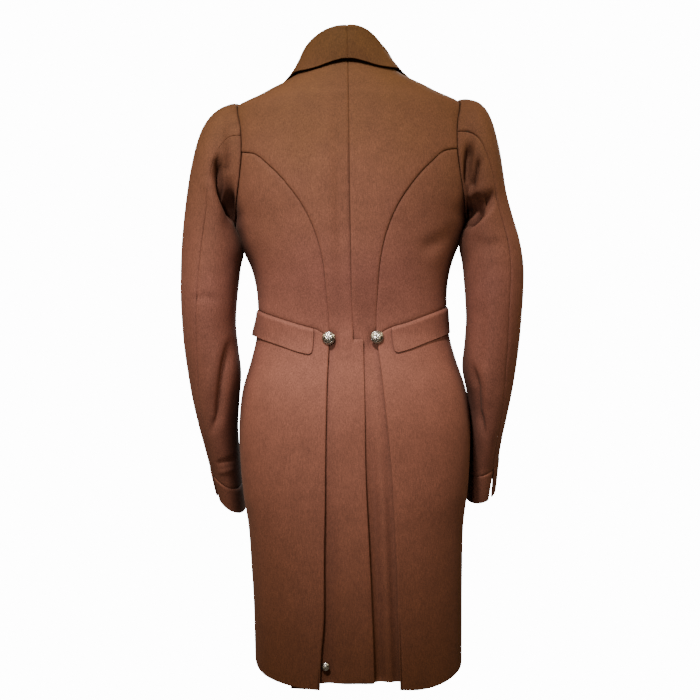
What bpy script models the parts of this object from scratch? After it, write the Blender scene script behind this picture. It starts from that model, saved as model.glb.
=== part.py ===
# A hollow, worn tailcoat with gathered sleeve heads, built seam by seam.
# Metres, +Z up, +X the wearer's left, -Y the wearer's front.
# The origin is the middle of the neck, level with the neck seam at the centre back.
import bpy
import numpy as np
from collections import namedtuple
from math import cos, pi, radians, sin
from mathutils import Matrix, Vector
from mathutils.geometry import delaunay_2d_cdt

MM = 0.001

# Driving dimensions
CLOTH = 2.0 * MM           # wall of the cloth
SEAM = 0.5 * MM            # gap between two pieces at a seam
SLEEVE_SEAM = 1.1 * MM     # the same where coarse facets meet round the sleeves
LAYER = 3.0 * MM           # from the middle of one layer to the next one lying on it
CELL = 33 * MM             # size of the panels' facets
PLAN_RADIUS = 160 * MM     # radius at which the panels' plan is true to size

NECK_SIDE = 90             # degrees round the body from the centre back: the shoulder seam
FRONT_EDGE = 186           # the fronts lap past the centre front
ARM_TOP, ARM_HALF = -74.5 * MM, 98.5 * MM     # top and half height of the armhole
ARM_BACK, ARM_FRONT = 21.5, 26                # its half widths in degrees round the body
SIDE_ARM = 82              # where the side back seam meets it, in degrees round the arm
HIND_ARM, FORE_ARM = 65, 218                  # where the sleeve's two seams meet it
BREAK_Z = -250 * MM        # where the lapels' roll ends
JOG_Z = -467 * MM          # where the centre back seam opens into the vent
TUCK = 44 * MM             # how far the tails reach under the skirts, whose pleats fold as far back
PLEAT_ROUND = LAYER / 2    # radius of the pleats' fold
LAP = 158, 172             # between these degrees the left forepart rises over the right one
LAP_CLEAR = 4 * MM         # the right lapel ends this far short of the left forepart
GORGE_CLEAR = 2 * MM       # the lapels start this far below the collar
FLAP_FROM, FLAP_TO, FLAP_DEEP = 37, 99, 43 * MM
FLAP_LIFT = 3.7 * MM       # how far the flaps lie out
FLAP_BELOW = 1.2 * MM      # and how far below the waist seam
FLAP_CORNER = 0.1          # how much shorter the flaps are at their corners
FLAP_GAPE = 9 * MM         # how far the left one's front end stands off the skirt
BUTTON, FRONT_BUTTON, SMALL_BUTTON = 21 * MM, 19 * MM, 13 * MM      # diameters

Body = namedtuple("Body", "z half_width back front square")
BODY = [
    Body(15, 63, 60, 60, 2.0),
    Body(0, 66, 62, 62, 2.0),
    Body(-12, 72, 68, 68, 2.0),
    Body(-24, 81, 75, 75, 2.0),
    Body(-35, 99, 81, 80, 2.05),
    Body(-50, 130, 88, 86, 2.1),
    Body(-60, 149, 92, 89, 2.1),
    Body(-69, 169, 96, 92, 2.1),
    Body(-76, 183, 98, 94, 2.1),
    Body(-87, 191, 101, 97, 2.15),
    Body(-110, 198, 107, 104, 2.2),
    Body(-150, 203, 115, 114, 2.3),
    Body(-200, 204, 121, 123, 2.35),
    Body(-240, 198, 122, 125, 2.35),
    Body(-271, 188, 121, 124, 2.3),
    Body(-300, 179, 118, 121, 2.3),
    Body(-326, 171, 115, 117, 2.25),
    Body(-360, 161, 109, 111, 2.2),
    Body(-400, 156, 99, 104, 2.2),
    Body(-430, 157, 92, 102, 2.2),
    Body(-460, 159, 89, 104, 2.2),
    Body(-500, 169, 96, 109, 2.25),
    Body(-545, 183, 109, 114, 2.3),
    Body(-600, 190, 118, 118, 2.3),
    Body(-670, 189, 121, 119, 2.3),
    Body(-720, 185, 121, 118, 2.3),
    Body(-770, 178, 120, 116, 2.25),
    Body(-850, 174, 119, 113, 2.2),
    Body(-950, 171, 118, 110, 2.2),
    Body(-1040, 169, 117, 108, 2.2),
]

# Seams and edges, as turns round the body in degrees and heights in mm
Seam = namedtuple("Seam", "turn z")
NECK = [Seam(0, 0), Seam(30, -2), Seam(60, -7), Seam(90, -14), Seam(115, -32), Seam(136, -58)]
WAIST = [Seam(0, -467), Seam(24, -464), Seam(29, -456), Seam(50, -440), Seam(68, -425),
         Seam(80, -417), Seam(96, -412), Seam(128, -414), Seam(186, -426)]

# Seams and edges seen from straight behind, in mm
Line = namedtuple("Line", "z x")
SIDE_BACK = [Line(-165, 152), Line(-184, 130), Line(-202, 112), Line(-223, 95), Line(-244, 80),
             Line(-270, 66), Line(-306, 53), Line(-338, 46), Line(-403, 40), Line(-464, 38.5)]
VENT = [Line(-467, 16.6), Line(-550, 17), Line(-700, 16.5), Line(-791, 19), Line(-883, 22),
        Line(-959, 23.6), Line(-1018, 24.3)]
VENT_UNDER = 12 * MM       # how far the right tail reaches past the centre, under the left one
Pleat = namedtuple("Pleat", "z left right")
PLEAT = [Pleat(-464, 38.5, 38.5), Pleat(-540, 43, 47), Pleat(-600, 45.5, 52.5), Pleat(-690, 48, 58),
         Pleat(-820, 52, 63), Pleat(-920, 55.5, 64.5), Pleat(-980, 61, 65), Pleat(-1035, 64, 65.3)]
# The back tail's edge under the skirt: how far it reaches past the pleat at each height, in mm
UNDER = [Line(-469.5, -1.2), Line(-477, 21), Line(-520, 40), Line(-560, 44), Line(-660, 44),
         Line(-790, 44), Line(-920, 44), Line(-1018, 44)]
UNDER_CORNER = 2           # the first rows of these run straight

# The skirt from its pleat (0) to its front edge (1): the hem's height in mm
Hem = namedtuple("Hem", "across left right")
HEM = [Hem(0, -1027, -1029.5), Hem(0.22, -1024.5, -1031.5), Hem(0.4, -1019.5, -1028.5),
       Hem(0.5, -1016, -1024.5), Hem(0.67, -1008, -1015.5), Hem(0.82, -997, -1006),
       Hem(0.92, -985, -993.5), Hem(0.97, -973, -980.5), Hem(1, -955, -961)]

# The skirt's front edge: degrees round the body at each height in mm
Edge = namedtuple("Edge", "z turn")
SKIRT_FRONT = [Edge(-414, 128), Edge(-500, 124), Edge(-620, 114), Edge(-760, 104),
               Edge(-900, 97), Edge(-1035, 93)]

# How far the tails lie out of the body's surface, in mm: the left and right one's middle,
# and the part beside and under the pleats
Lift = namedtuple("Lift", "z left right side")
TAIL_LIFT = [Lift(0, 0, 0, 0), Lift(-430, 0, 0, 0), Lift(-450, 0.6, -0.7, -0.7),
             Lift(-464, 1.4, -1.8, -4.6), Lift(-470, 0.9, -2.6, -6.2), Lift(-485, -1.0, -4.1, -6.3),
             Lift(-520, -3.0, -6.2, -6.4), Lift(-1040, -3.0, -6.2, -6.4)]

# The lapel from its gorge (0) to the end of its roll (1): its outer edge seen from the front, in mm
Lapel = namedtuple("Lapel", "down edge_x edge_z")
LAPEL = [Lapel(0, 103, -83), Lapel(0.09, 127, -105), Lapel(0.25, 124, -136), Lapel(0.5, 103, -181),
         Lapel(0.75, 64, -222), Lapel(0.92, 16, -244), Lapel(1, -8, -251)]

# The collar round the neck, in mm: the fold's place (across on the left and the right, fore
# and aft, height), and the fall's lower edge as a turn round the body and its two heights
Collar = namedtuple("Collar", "turn left right fold_y fold_z edge_turn edge_left edge_right")
COLLAR = [
    Collar(0, 0, 0, 62, 45.5, 0, -14, -14),
    Collar(15, 19, 17, 61, 44, 9, -14.7, -14.7),
    Collar(30, 38, 32.5, 54.5, 38.5, 24, -19, -19),
    Collar(45, 54, 45, 44, 29.5, 38, -24.5, -24),
    Collar(60, 66, 55, 31, 19, 51, -28.5, -26.5),
    Collar(75, 74, 64, 15, 7.5, 66, -29.5, -26.5),
    Collar(90, 79, 71, -3, -4, 83, -29, -25),
    Collar(105, 81, 74, -23, -15, 99, -38.5, -34.5),
    Collar(120, 80, 76, -48, -31, 112, -57, -55.5),
    Collar(136, 74.5, 74, -79, -55, 123, -82, -82),
]
COLLAR_SEAM = 2.4 * MM             # the stand starts this far above the neck seam
COLLAR_FOLD = 3.2 * MM             # half the fold's width
COLLAR_OVER = 5.3 * MM             # how far the fall lies out of the body's surface
COLLAR_MORE = 2.2 * MM             # and how much further in front of the shoulders

# The sleeve, in mm: each section's outermost and innermost points (left and right arm),
# the place and half depth fore and aft, its tilt, how far its outer point is raised on the
# left arm and lowered on the right one, and how far each arm's whole section is raised
Arm = namedtuple("Arm", "out_left out_right out_z in_left in_right in_z middle half_depth tilt skew up_left up_right")
ARM = [
    Arm(199, 201, -72.8, 192.3, 192.3, -274.0, 0, 66, 0, -0.8, 0, 0),
    Arm(211.5, 213.5, -77.3, 192.2, 192.2, -276.5, 1, 69, 0, -1.5, 0, 0),
    Arm(226, 226, -88.5, 191.8, 191.8, -279.5, 2, 70, 0, -1.5, 0, 0),
    Arm(239.5, 236, -107.5, 191.2, 191, -283, 3, 70, 0, -0.5, 0, 0),
    Arm(250, 243, -133, 190.2, 189.8, -287, 4, 69.5, 0, 0, 0, 0),
    Arm(258, 249, -162, 189.5, 188.2, -292, 5, 68.5, 0, 0, 0, 0),
    Arm(264.5, 253.5, -193, 188.5, 186, -299, 6, 67.5, 0, 0, 0, 0),
    Arm(270, 258.5, -228, 187.5, 184, -309, 8, 66, 0, 0, 0, 0),
    Arm(275, 267.5, -265, 186.5, 184.2, -322, 10, 64.5, 0, 0, 0, 0),
    Arm(279.5, 278, -305, 186, 185, -341, 12, 63, 0, 0, 0, 0),
    Arm(282, 283.5, -347, 187.5, 185.5, -368, 14, 61.5, 0, 0, 0, 0),
    Arm(282.5, 282.5, -390, 191.5, 187.5, -402, 15, 60, -0.02, 0, 0, 0),
    Arm(281, 279, -432, 194, 188.5, -438, 12, 59, -0.06, 0, 0, 0),
    Arm(278.5, 275, -472, 191, 185.5, -476, 7, 58, -0.11, 0, 0, 0),
    Arm(274, 269.5, -514, 187, 181.5, -517, -1, 57, -0.17, 0, 0, 0),
    Arm(268.5, 263, -557, 190.5, 189, -560, -12, 55.5, -0.23, 0, 0, 2),
    Arm(260, 255.5, -602, 194.8, 192.3, -608, -26, 53.5, -0.3, 0, 0, 8),
    Arm(251, 248.2, -644, 194.5, 190.8, -660, -42, 51, -0.36, 2, 0, 15),
    Arm(243, 243, -684, 192.5, 188.7, -712, -58, 48.5, -0.4, 6, 0, 24),
]
CUFF = [
    Arm(243, 243, -684, 192.5, 188.7, -712, -58, 48.5, -0.4, 6, 0, 24),
    Arm(239.5, 240.2, -707, 190.5, 187.6, -734, -66, 48.5, -0.4, 9, 0, 24.5),
    Arm(235.5, 237.2, -730, 188.5, 185.8, -756, -74, 48.5, -0.4, 12, 0, 25),
]
CUFF_VENT = [3.0, 5.0, 8.0]        # the cuff's slit at those three sections, in degrees

# The hindarm seam: degrees round the arm at each section's number, on the left and right
Turn = namedtuple("Turn", "section left right")
HINDARM = [Turn(0, 67, 67), Turn(3, 74, 70), Turn(6, 78, 62), Turn(8, 75.5, 57), Turn(10, 73, 60),
           Turn(12, 67, 63), Turn(13, 63, 60), Turn(15, 52, 57), Turn(18, 47, 59)]

# Largest folds of the sleeves: which arm, where along it (section) and round it (degrees),
# half lengths in the same units, and depth in mm
Fold = namedtuple("Fold", "side section turn half_sections half_turn depth")
SLEEVE_FOLDS = [
    Fold(-1, 5.5, 122, 3.5, 24, -6.0),
    Fold(-1, 5.5, 50, 3.5, 18, 1.8),
    Fold(1, 5.5, 124, 3.5, 24, -5.0),
    Fold(1, 10.5, 40, 0.9, 40, -2.5),
    Fold(-1, 8.5, 60, 0.9, 45, -2.5),
    Fold(-1, 14.5, 120, 3.0, 18, -4.0),
]

FRONT_BUTTON_Z = [-272 * MM, -316 * MM, -360 * MM, -404 * MM]
HIP_BUTTON = (38.8 * MM, -464 * MM)
HIP_BUTTON_LIFT = 1.2 * MM         # the hip buttons stand this much higher, clear of both tails
PLEAT_BUTTON_Z = -990 * MM

# A domed button's outline, from the middle of its face out and round to its shank,
# in shares of its radius
DOME = [(0, 0.52), (0.3, 0.49), (0.58, 0.40), (0.8, 0.27), (0.95, 0.12), (1.0, 0.06),
        (0.97, 0.01), (0.9, 0.0), (0, 0.0)]


def clear_scene():
    for old in list(bpy.data.objects):
        bpy.data.objects.remove(old, do_unlink=True)


def material(name, color, roughness, metallic=0.0):
    made = bpy.data.materials.new(name)
    made.use_nodes = True
    shader = made.node_tree.nodes["Principled BSDF"]
    shader.inputs["Base Color"].default_value = (*color, 1)
    shader.inputs["Roughness"].default_value = roughness
    shader.inputs["Metallic"].default_value = metallic
    return made


def column(rows, key, field):
    """A smooth curve through one column of a table, as a function of another column."""
    pairs = sorted((getattr(row, key), getattr(row, field)) for row in rows)
    xs = np.array([pair[0] for pair in pairs], float)
    ys = np.array([pair[1] for pair in pairs], float)
    slopes = np.gradient(ys, xs)

    def value(at):
        i = np.clip(np.searchsorted(xs, at) - 1, 0, len(xs) - 2)
        step = xs[i + 1] - xs[i]
        t = np.clip((at - xs[i]) / step, 0, 1)
        start = ys[i] * (1 + 2 * t) * (1 - t) ** 2 + slopes[i] * step * t * (1 - t) ** 2
        end = ys[i + 1] * t * t * (3 - 2 * t) - slopes[i + 1] * step * t * t * (1 - t)
        return start + end

    return value


def ease(value, low, high):
    t = np.clip((value - low) / (high - low), 0, 1)
    return t * t * (3 - 2 * t)


BODY_COLUMNS = {field: column(BODY, "z", field) for field in Body._fields[1:]}


def section(z):
    """The body's half width, back, front and squareness at a height."""
    found = {field: curve(z / MM) for field, curve in BODY_COLUMNS.items()}
    return found["half_width"] * MM, found["back"] * MM, found["front"] * MM, found["square"]


def surface(turn, z):
    """A point of the body's surface, a turn round from the centre back in radians."""
    turn, z = np.broadcast_arrays(np.asarray(turn, float), np.asarray(z, float))
    half, back, front, square = section(z)
    depth = np.where(np.cos(turn) >= 0, back, front)
    reach = (np.abs(np.cos(turn)) / depth) ** square + (np.abs(np.sin(turn)) / half) ** square
    reach = reach ** (-1 / square)
    return np.stack([reach * np.sin(turn), reach * np.cos(turn), z], axis=-1)


def outward(turn, z):
    """The surface's unit normal."""
    across = surface(np.add(turn, 0.002), z) - surface(np.subtract(turn, 0.002), z)
    up = surface(turn, np.add(z, 0.4 * MM)) - surface(turn, np.subtract(z, 0.4 * MM))
    normal = np.cross(up, across)
    return normal / np.linalg.norm(normal, axis=-1, keepdims=True)


def raised(turn, z, lift=0.0):
    lift = np.asarray(lift, float)[..., None]
    return surface(turn, z) + outward(turn, z) * lift


def lying_over(point, lift):
    """The point, moved out of the body's surface where it isn't that far out already."""
    for _ in range(4):
        turn = float(np.arctan2(point[0], point[1]))
        normal = outward(turn, point[2])
        out = float(np.dot(point - surface(turn, point[2]), normal))
        if out < lift:
            point = point + normal * (lift - out)
    return point


def turn_at(x, z, front=False):
    """The turn of the surface point seen at x from straight behind or from the front."""
    half, back, front_depth, square = section(z)
    depth = -front_depth if front else back
    share = np.clip(1 - (np.abs(x) / half) ** square, 0, 1)
    return np.arctan2(x, depth * share ** (1 / square))


# The panels are cut in a flat plan: turns across, and lengths along the body down
PLAN_Z = np.linspace(20 * MM, -1045 * MM, 1066)
_half, _back, _front, _ = section(PLAN_Z)
_slope = np.gradient((_half + _back) / 2, PLAN_Z)
PLAN_DOWN = np.concatenate([[0], np.cumsum(np.sqrt(1 + _slope[1:] ** 2) * MM)])


def plan_from_z(z):
    return -np.interp(-np.asarray(z), -PLAN_Z, PLAN_DOWN)


def z_from_plan(v):
    return np.interp(-np.asarray(v), PLAN_DOWN, PLAN_Z)


def run(points, spacing=CELL):
    """Points about a facet apart on a smooth curve through (turn, z) points."""
    points = np.asarray(points, float)
    places = surface(points[:, 0], points[:, 1])
    lengths = np.concatenate([[0], np.cumsum(np.linalg.norm(np.diff(places, axis=0), axis=1))])
    count = max(1, round(lengths[-1] / spacing))
    stops = np.linspace(0, lengths[-1], count + 1)
    if len(points) == 2:
        share = stops / lengths[-1]
        return [tuple(points[0] + (points[1] - points[0]) * s) for s in share]
    Stop = namedtuple("Stop", "at turn z")
    rows = [Stop(a, *p) for a, p in zip(lengths, points)]
    turns, heights = column(rows, "at", "turn"), column(rows, "at", "z")
    return [(float(turns(s)), float(heights(s))) for s in stops]


def joined(*runs):
    """One outline from runs that share their end points."""
    outline = []
    for points in runs:
        for point in points:
            if not outline or max(abs(point[0] - outline[-1][0]), abs(point[1] - outline[-1][1])) > 1e-7:
                outline.append(point)
    first, last = outline[0], outline[-1]
    if max(abs(first[0] - last[0]), abs(first[1] - last[1])) < 1e-7:
        outline.pop()
    return outline


def cut(outline):
    """A panel's mesh in the plan: the outline drawn in by half a seam's gap, and facets inside."""
    turn = np.array([p[0] for p in outline])
    down = plan_from_z([p[1] for p in outline])
    if np.sum(turn * np.roll(down, -1) - np.roll(turn, -1) * down) < 0:
        turn, down = turn[::-1], down[::-1]
    radius = np.linalg.norm(surface(turn, z_from_plan(down))[:, :2], axis=1)

    def edge_normal(step):
        du = (np.roll(turn, step) - turn) * radius * (-step)
        dv = (np.roll(down, step) - down) * (-step)
        size = np.hypot(du, dv)
        return np.stack([-dv / size, du / size], axis=1)

    before, after = edge_normal(1), edge_normal(-1)
    normal = before + after
    normal /= np.linalg.norm(normal, axis=1, keepdims=True)
    spread = np.maximum(0.5, np.sum(normal * after, axis=1))
    turn = turn + normal[:, 0] * SEAM / 2 / spread / radius
    down = down + normal[:, 1] * SEAM / 2 / spread

    rim = np.stack([turn * PLAN_RADIUS, down], axis=1)
    across = np.arange(rim[:, 0].min() + CELL / 2, rim[:, 0].max(), CELL)
    along = np.arange(rim[:, 1].max() - CELL / 2, rim[:, 1].min(), -CELL)
    inner = [(u, v) for v in along for u in across if clearance(rim, u, v) > 0.45 * CELL]
    points = [Vector(p) for p in rim.tolist()] + [Vector(p) for p in inner]
    loop = list(range(len(rim)))
    found, _, faces, _, _, _ = delaunay_2d_cdt(points, [], [loop], 1, 1e-7)
    used = sorted({corner for face in faces for corner in face})
    place = {corner: i for i, corner in enumerate(used)}
    plan = np.array([found[corner] for corner in used])
    faces = [[place[corner] for corner in face] for face in faces]
    return plan[:, 0] / PLAN_RADIUS, z_from_plan(plan[:, 1]), faces


def clearance(rim, u, v):
    """Distance from a plan point to the outline: negative outside it."""
    start, end = rim, np.roll(rim, -1, axis=0)
    side = end - start
    share = np.clip(((u - start[:, 0]) * side[:, 0] + (v - start[:, 1]) * side[:, 1])
                    / np.maximum(np.sum(side * side, axis=1), 1e-12), 0, 1)
    nearest = np.min(np.hypot(start[:, 0] + share * side[:, 0] - u, start[:, 1] + share * side[:, 1] - v))
    crosses = (start[:, 1] > v) != (end[:, 1] > v)
    rise = np.where(crosses, end[:, 1] - start[:, 1], 1)
    hits = np.sum(crosses & (u < side[:, 0] * (v - start[:, 1]) / rise + start[:, 0]))
    return nearest if hits % 2 else -nearest


def sided(name, side):
    return f"{name}_{'left' if side > 0 else 'right'}"


def add_sheet(name, points, faces, side):
    """A cloth piece: an open surface with an even wall on both sides of it."""
    name = sided(name, side)
    points = np.array(points, float)
    points[:, 0] *= side
    mesh = bpy.data.meshes.new(name)
    mesh.from_pydata(points.tolist(), [], [face[::side] for face in faces])
    mesh.shade_smooth()
    sheet = bpy.data.objects.new(name, mesh)
    coat.objects.link(sheet)
    sheet.data.materials.append(cloth)
    solid = sheet.modifiers.new("wall", "SOLIDIFY")
    solid.thickness = CLOTH
    solid.offset = 0


def loft(grid):
    """Points and four-sided faces of a grid of rows of points."""
    grid = np.asarray(grid, float)
    rows, columns = grid.shape[:2]
    faces = [[r * columns + c, (r + 1) * columns + c, (r + 1) * columns + c + 1, r * columns + c + 1]
             for r in range(rows - 1) for c in range(columns - 1)]
    return grid.reshape(-1, 3), faces


def drawn_in(grid, ends=True, sides=True, gap=SEAM):
    """The grid with its rim moved in by half a seam's gap."""
    made = np.array(grid, float)

    def pull(rim, inside):
        way = inside - rim
        return rim + way / np.linalg.norm(way, axis=-1, keepdims=True) * gap / 2

    if sides:
        made[:, 0], made[:, -1] = pull(made[:, 0], made[:, 1]), pull(made[:, -1], made[:, -2])
    if ends:
        made[0], made[-1] = pull(made[0], made[1]), pull(made[-1], made[-2])
    return made


# Shared seams, each made once so that the pieces on both sides have the same points

def line_points(rows, front=False):
    return [(float(turn_at(row.x * MM, row.z * MM, front)), row.z * MM) for row in rows]


def armhole(turn_round):
    """The armhole's (turn, z) at degrees round the arm: 0 at the top, 90 behind."""
    around = radians(turn_round)
    reach = ARM_BACK if sin(around) > 0 else ARM_FRONT
    return radians(90 - reach * sin(around)), ARM_TOP - ARM_HALF + ARM_HALF * cos(around)


TOP_TURNS = np.concatenate([np.linspace(FORE_ARM - 360, 0, 8), np.linspace(0, HIND_ARM, 4)[1:]])
UNDER_TURNS = np.concatenate([[HIND_ARM], np.linspace(SIDE_ARM, FORE_ARM, 8)])
ARMHOLE_BACK = [armhole(t) for t in [*TOP_TURNS, SIDE_ARM] if t >= -1e-6]
ARMHOLE_FRONT = [armhole(t) for t in [*UNDER_TURNS[1:], *TOP_TURNS[1:]] if t >= SIDE_ARM or t <= 1e-6]

SIDES = {1: "left", -1: "right"}
neck_height = column(NECK, "turn", "z")
waist_height = column(WAIST, "turn", "z")
pleat_x = {side: column(PLEAT, "z", word) for side, word in SIDES.items()}
hem_height = {side: column(HEM, "across", word) for side, word in SIDES.items()}
hindarm = {side: column(HINDARM, "section", word) for side, word in SIDES.items()}
skirt_front_turn = column(SKIRT_FRONT, "z", "turn")
lift_columns = {field: column(TAIL_LIFT, "z", field) for field in Lift._fields[1:]}

NECK_TURNS = [row.turn for row in COLLAR]
NECK_BACK = [(radians(t), float(neck_height(t)) * MM) for t in NECK_TURNS if t <= NECK_SIDE]
NECK_FRONT = [(radians(t), float(neck_height(t)) * MM) for t in NECK_TURNS if t >= NECK_SIDE]
SHOULDER = run([NECK_BACK[-1], armhole(0)], 0.7 * CELL)
SIDE_SEAM = run([armhole(SIDE_ARM)] + line_points(SIDE_BACK), 0.85 * CELL)
SKIRT_SHARES = list(np.linspace(0, 1, 12)[:-1]) + [0.96, 0.985, 1]
SKIRT_DOWN = [0, 0.03, 0.065, 0.105, 0.15, 0.2, 0.27, 0.36, 0.47, 0.59, 0.71, 0.83, 0.93, 0.97, 1]
WAIST_FROM = SIDE_SEAM[-1][0]
WAIST_TO = radians(SKIRT_FRONT[0].turn)


def waist_point(turn):
    return turn, float(waist_height(np.degrees(turn))) * MM


WAIST_SKIRT = [SIDE_SEAM[-1]] + [waist_point(WAIST_FROM + (WAIST_TO - WAIST_FROM) * s)
                                 for s in SKIRT_SHARES[1:]]
WAIST_FRONT = run([waist_point(WAIST_TO), waist_point(radians(155)), waist_point(radians(FRONT_EDGE))])


def roll_line():
    """The lapel's roll, nearly straight from the gorge to its end at the front edge."""
    start, end = NECK_FRONT[-1], (radians(FRONT_EDGE), BREAK_Z)
    first, last = surface(*start), surface(*end)
    shares = np.linspace(0, 1, 10)
    points = []
    for s in shares:
        x = first[0] + (last[0] - first[0]) * s
        z = first[2] + (last[2] - first[2]) * s
        points.append((float(turn_at(x, z, front=True)) % (2 * pi), float(z)))
    points[0], points[-1] = start, end
    return points


ROLL = roll_line()


def tail_lift(turn, z, side):
    """How far a back panel lies out of the body's surface."""
    middle = lift_columns[SIDES[side]](z / MM)
    beside = lift_columns["side"](z / MM)
    x = surface(turn, z)[..., 0]
    return (middle + (beside - middle) * ease(x, 16 * MM, 36 * MM)) * MM


def lap_lift(turn, side):
    """How far the left forepart lies out where it laps over the right one."""
    return LAYER * ease(np.degrees(turn), *LAP) * (side > 0)


def add_back(side):
    """Half a back, cut in one with its tail."""
    under = line_points([Line(row.z, float(pleat_x[side](row.z)) + row.x) for row in UNDER])
    tail_side = run([SIDE_SEAM[-1], under[0]])
    tail_step = run(under[:UNDER_CORNER])
    tail_edge = run(under[UNDER_CORNER - 1:])
    if side > 0:
        vent = line_points([Line(row.z, -row.x) for row in VENT])
    else:
        vent = line_points([Line(row.z, -VENT_UNDER / MM) for row in VENT])
    hem = run([tail_edge[-1], vent[-1]])
    jog = run([vent[0], (0.0, JOG_Z)])
    middle = run([(0.0, JOG_Z), (0.0, 0.0)])
    outline = joined(NECK_BACK, SHOULDER, ARMHOLE_BACK, SIDE_SEAM, tail_side, tail_step, tail_edge, hem,
                     run(vent)[::-1], jog, middle)
    turn, z, faces = cut(outline)
    add_sheet("back", raised(turn, z, tail_lift(turn, z, side)), faces, side)


def add_front(side):
    """A forepart, from the side back seam under the arm to the centre front."""
    front_edge = run([(radians(FRONT_EDGE), BREAK_Z), WAIST_FRONT[-1]])
    outline = joined(SIDE_SEAM[::-1], ARMHOLE_FRONT, SHOULDER[::-1], NECK_FRONT, ROLL, front_edge,
                     WAIST_FRONT[::-1], WAIST_SKIRT[::-1])
    turn, z, faces = cut(outline)
    add_sheet("front", raised(turn, z, lap_lift(turn, side)), faces, side)


def add_skirt(side):
    """A side tail, hung from the waist seam, with its back edge folded under as a pleat."""
    grid = []
    for t in SKIRT_DOWN:
        row = []
        heights = [top[1] + (float(hem_height[side](s)) * MM - top[1]) * t
                   for s, top in zip(SKIRT_SHARES, WAIST_SKIRT)]
        fold_z = heights[0]
        fold = float(turn_at(float(pleat_x[side](fold_z / MM)) * MM, fold_z))
        radius = float(np.linalg.norm(surface(fold, fold_z)[:2]))
        for back in (TUCK, TUCK * 0.5):
            row.append(raised(fold + (back + PLEAT_ROUND) / radius, fold_z, -LAYER))
        for bend in (-90, -30, 30, 90):
            shift = PLEAT_ROUND * (1 - cos(radians(bend))) + CLOTH / 2
            lift = -LAYER / 2 + PLEAT_ROUND * sin(radians(bend))
            row.append(raised(fold + shift / radius, fold_z, lift))
        for share, z in zip(SKIRT_SHARES[1:], heights[1:]):
            end = radians(float(skirt_front_turn(z / MM)))
            row.append(raised(fold + (end - fold) * share, z))
        grid.append(row)
    points, faces = loft(drawn_in(grid, sides=False))
    add_sheet("skirt", points, faces, side)


def add_flap(side):
    """A pocket flap, hung from the waist seam over the skirt: the left one's front end gapes."""
    grid = []
    for down in (0, 0.3, 0.65, 0.88, 1):
        row = []
        for share in (0, 0.03, 0.1, 0.22, 0.36, 0.5, 0.62, 0.74, 0.86, 0.97, 1):
            turn = radians(FLAP_FROM + (FLAP_TO - FLAP_FROM) * share)
            corner = FLAP_CORNER * ease(abs(share - 0.5), 0.44, 0.5)
            deep = FLAP_DEEP * down * (1 - corner)
            z = waist_point(turn)[1] - FLAP_BELOW - deep
            gape = FLAP_GAPE * ease(share, 0.62, 1) * ease(down, 0.1, 1) * (side > 0)
            row.append(raised(turn, z, FLAP_LIFT + gape))
        grid.append(row)
    points, faces = loft(grid)
    add_sheet("flap", points, faces, side)


def add_lapel(side):
    """A lapel, turned back over the forepart along its roll."""
    edge_x, edge_z = column(LAPEL, "down", "edge_x"), column(LAPEL, "down", "edge_z")
    grid = []
    for i, (turn, z) in enumerate(ROLL[:-1]):
        down = i / (len(ROLL) - 1)
        roll_x = float(surface(turn, z)[0])
        if side < 0:
            roll_x = max(roll_x, LAP_CLEAR - roll_x)
        row = []
        for share in (0, 0.25, 0.5, 0.75, 1):
            x = roll_x + (float(edge_x(down)) * MM - roll_x) * share
            level = z - GORGE_CLEAR * (i == 0) + (float(edge_z(down)) * MM - z) * share
            at = float(turn_at(x, level, front=True)) % (2 * pi)
            row.append(raised(at, level, LAYER + lap_lift(at, side)))
        grid.append(row)
    points, faces = loft(grid)
    add_sheet("lapel", points, [face[::-1] for face in faces], side)


def add_collar(side):
    """Half the collar: it stands on the neck seam, folds over and falls on the shoulders."""
    hand = SIDES[side]
    grid = []
    for row in COLLAR:
        at = row._asdict()
        seam = raised(radians(row.turn), float(neck_height(row.turn)) * MM)
        seam = seam + np.array([0, 0, COLLAR_SEAM])
        fold = np.array([at[hand], row.fold_y, row.fold_z]) * MM
        over = COLLAR_OVER + COLLAR_MORE * float(ease(row.turn, 40, 75))
        edge = raised(radians(row.edge_turn), at[f"edge_{hand}"] * MM, over)
        away = edge - seam
        away[2] = 0
        away /= np.linalg.norm(away)
        rise = max(0.0, fold[2] - seam[2])
        stand_top = fold - away * COLLAR_FOLD - np.array([0, 0, min(COLLAR_FOLD, rise * 0.5)])
        fall_top = fold + away * COLLAR_FOLD - np.array([0, 0, COLLAR_FOLD])
        line = [seam, seam + (stand_top - seam) * 0.5, stand_top, fold]
        for share in (0, 0.25, 0.5, 0.75, 1):
            line.append(lying_over(fall_top + (edge - fall_top) * share, over))
        grid.append(line)
    points, faces = loft(drawn_in(np.swapaxes(grid, 0, 1), ends=False))
    add_sheet("collar", points, faces, side)


def arm_ring(row, turns, side, section_number=None):
    """Points round one section of a sleeve."""
    at, hand = row._asdict(), SIDES[side]
    up = at[f"up_{hand}"]
    outer = np.array([at[f"out_{hand}"], 0, row.out_z + row.skew * side + up])
    inner = np.array([at[f"in_{hand}"], 0, row.in_z + up])
    centre = (outer + inner) / 2 + np.array([0, row.middle, 0])
    ring = []
    for turn in turns:
        around = radians(turn)
        point = centre + (outer - inner) / 2 * cos(around)
        point = point + np.array([0, 1, row.tilt]) * row.half_depth * sin(around)
        if section_number is not None:
            point = point + (point - centre) / np.linalg.norm(point - centre) * fold_depth(
                side, section_number, turn)
        ring.append(point * MM)
    return ring


def fold_depth(side, number, turn):
    total = 0
    for fold in SLEEVE_FOLDS:
        if fold.side == side:
            along = (number - fold.section) / fold.half_sections
            around = ((turn - fold.turn + 180) % 360 - 180) / fold.half_turn
            total += fold.depth * float(np.exp(-2 * (along ** 2 + around ** 2)))
    return total


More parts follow.
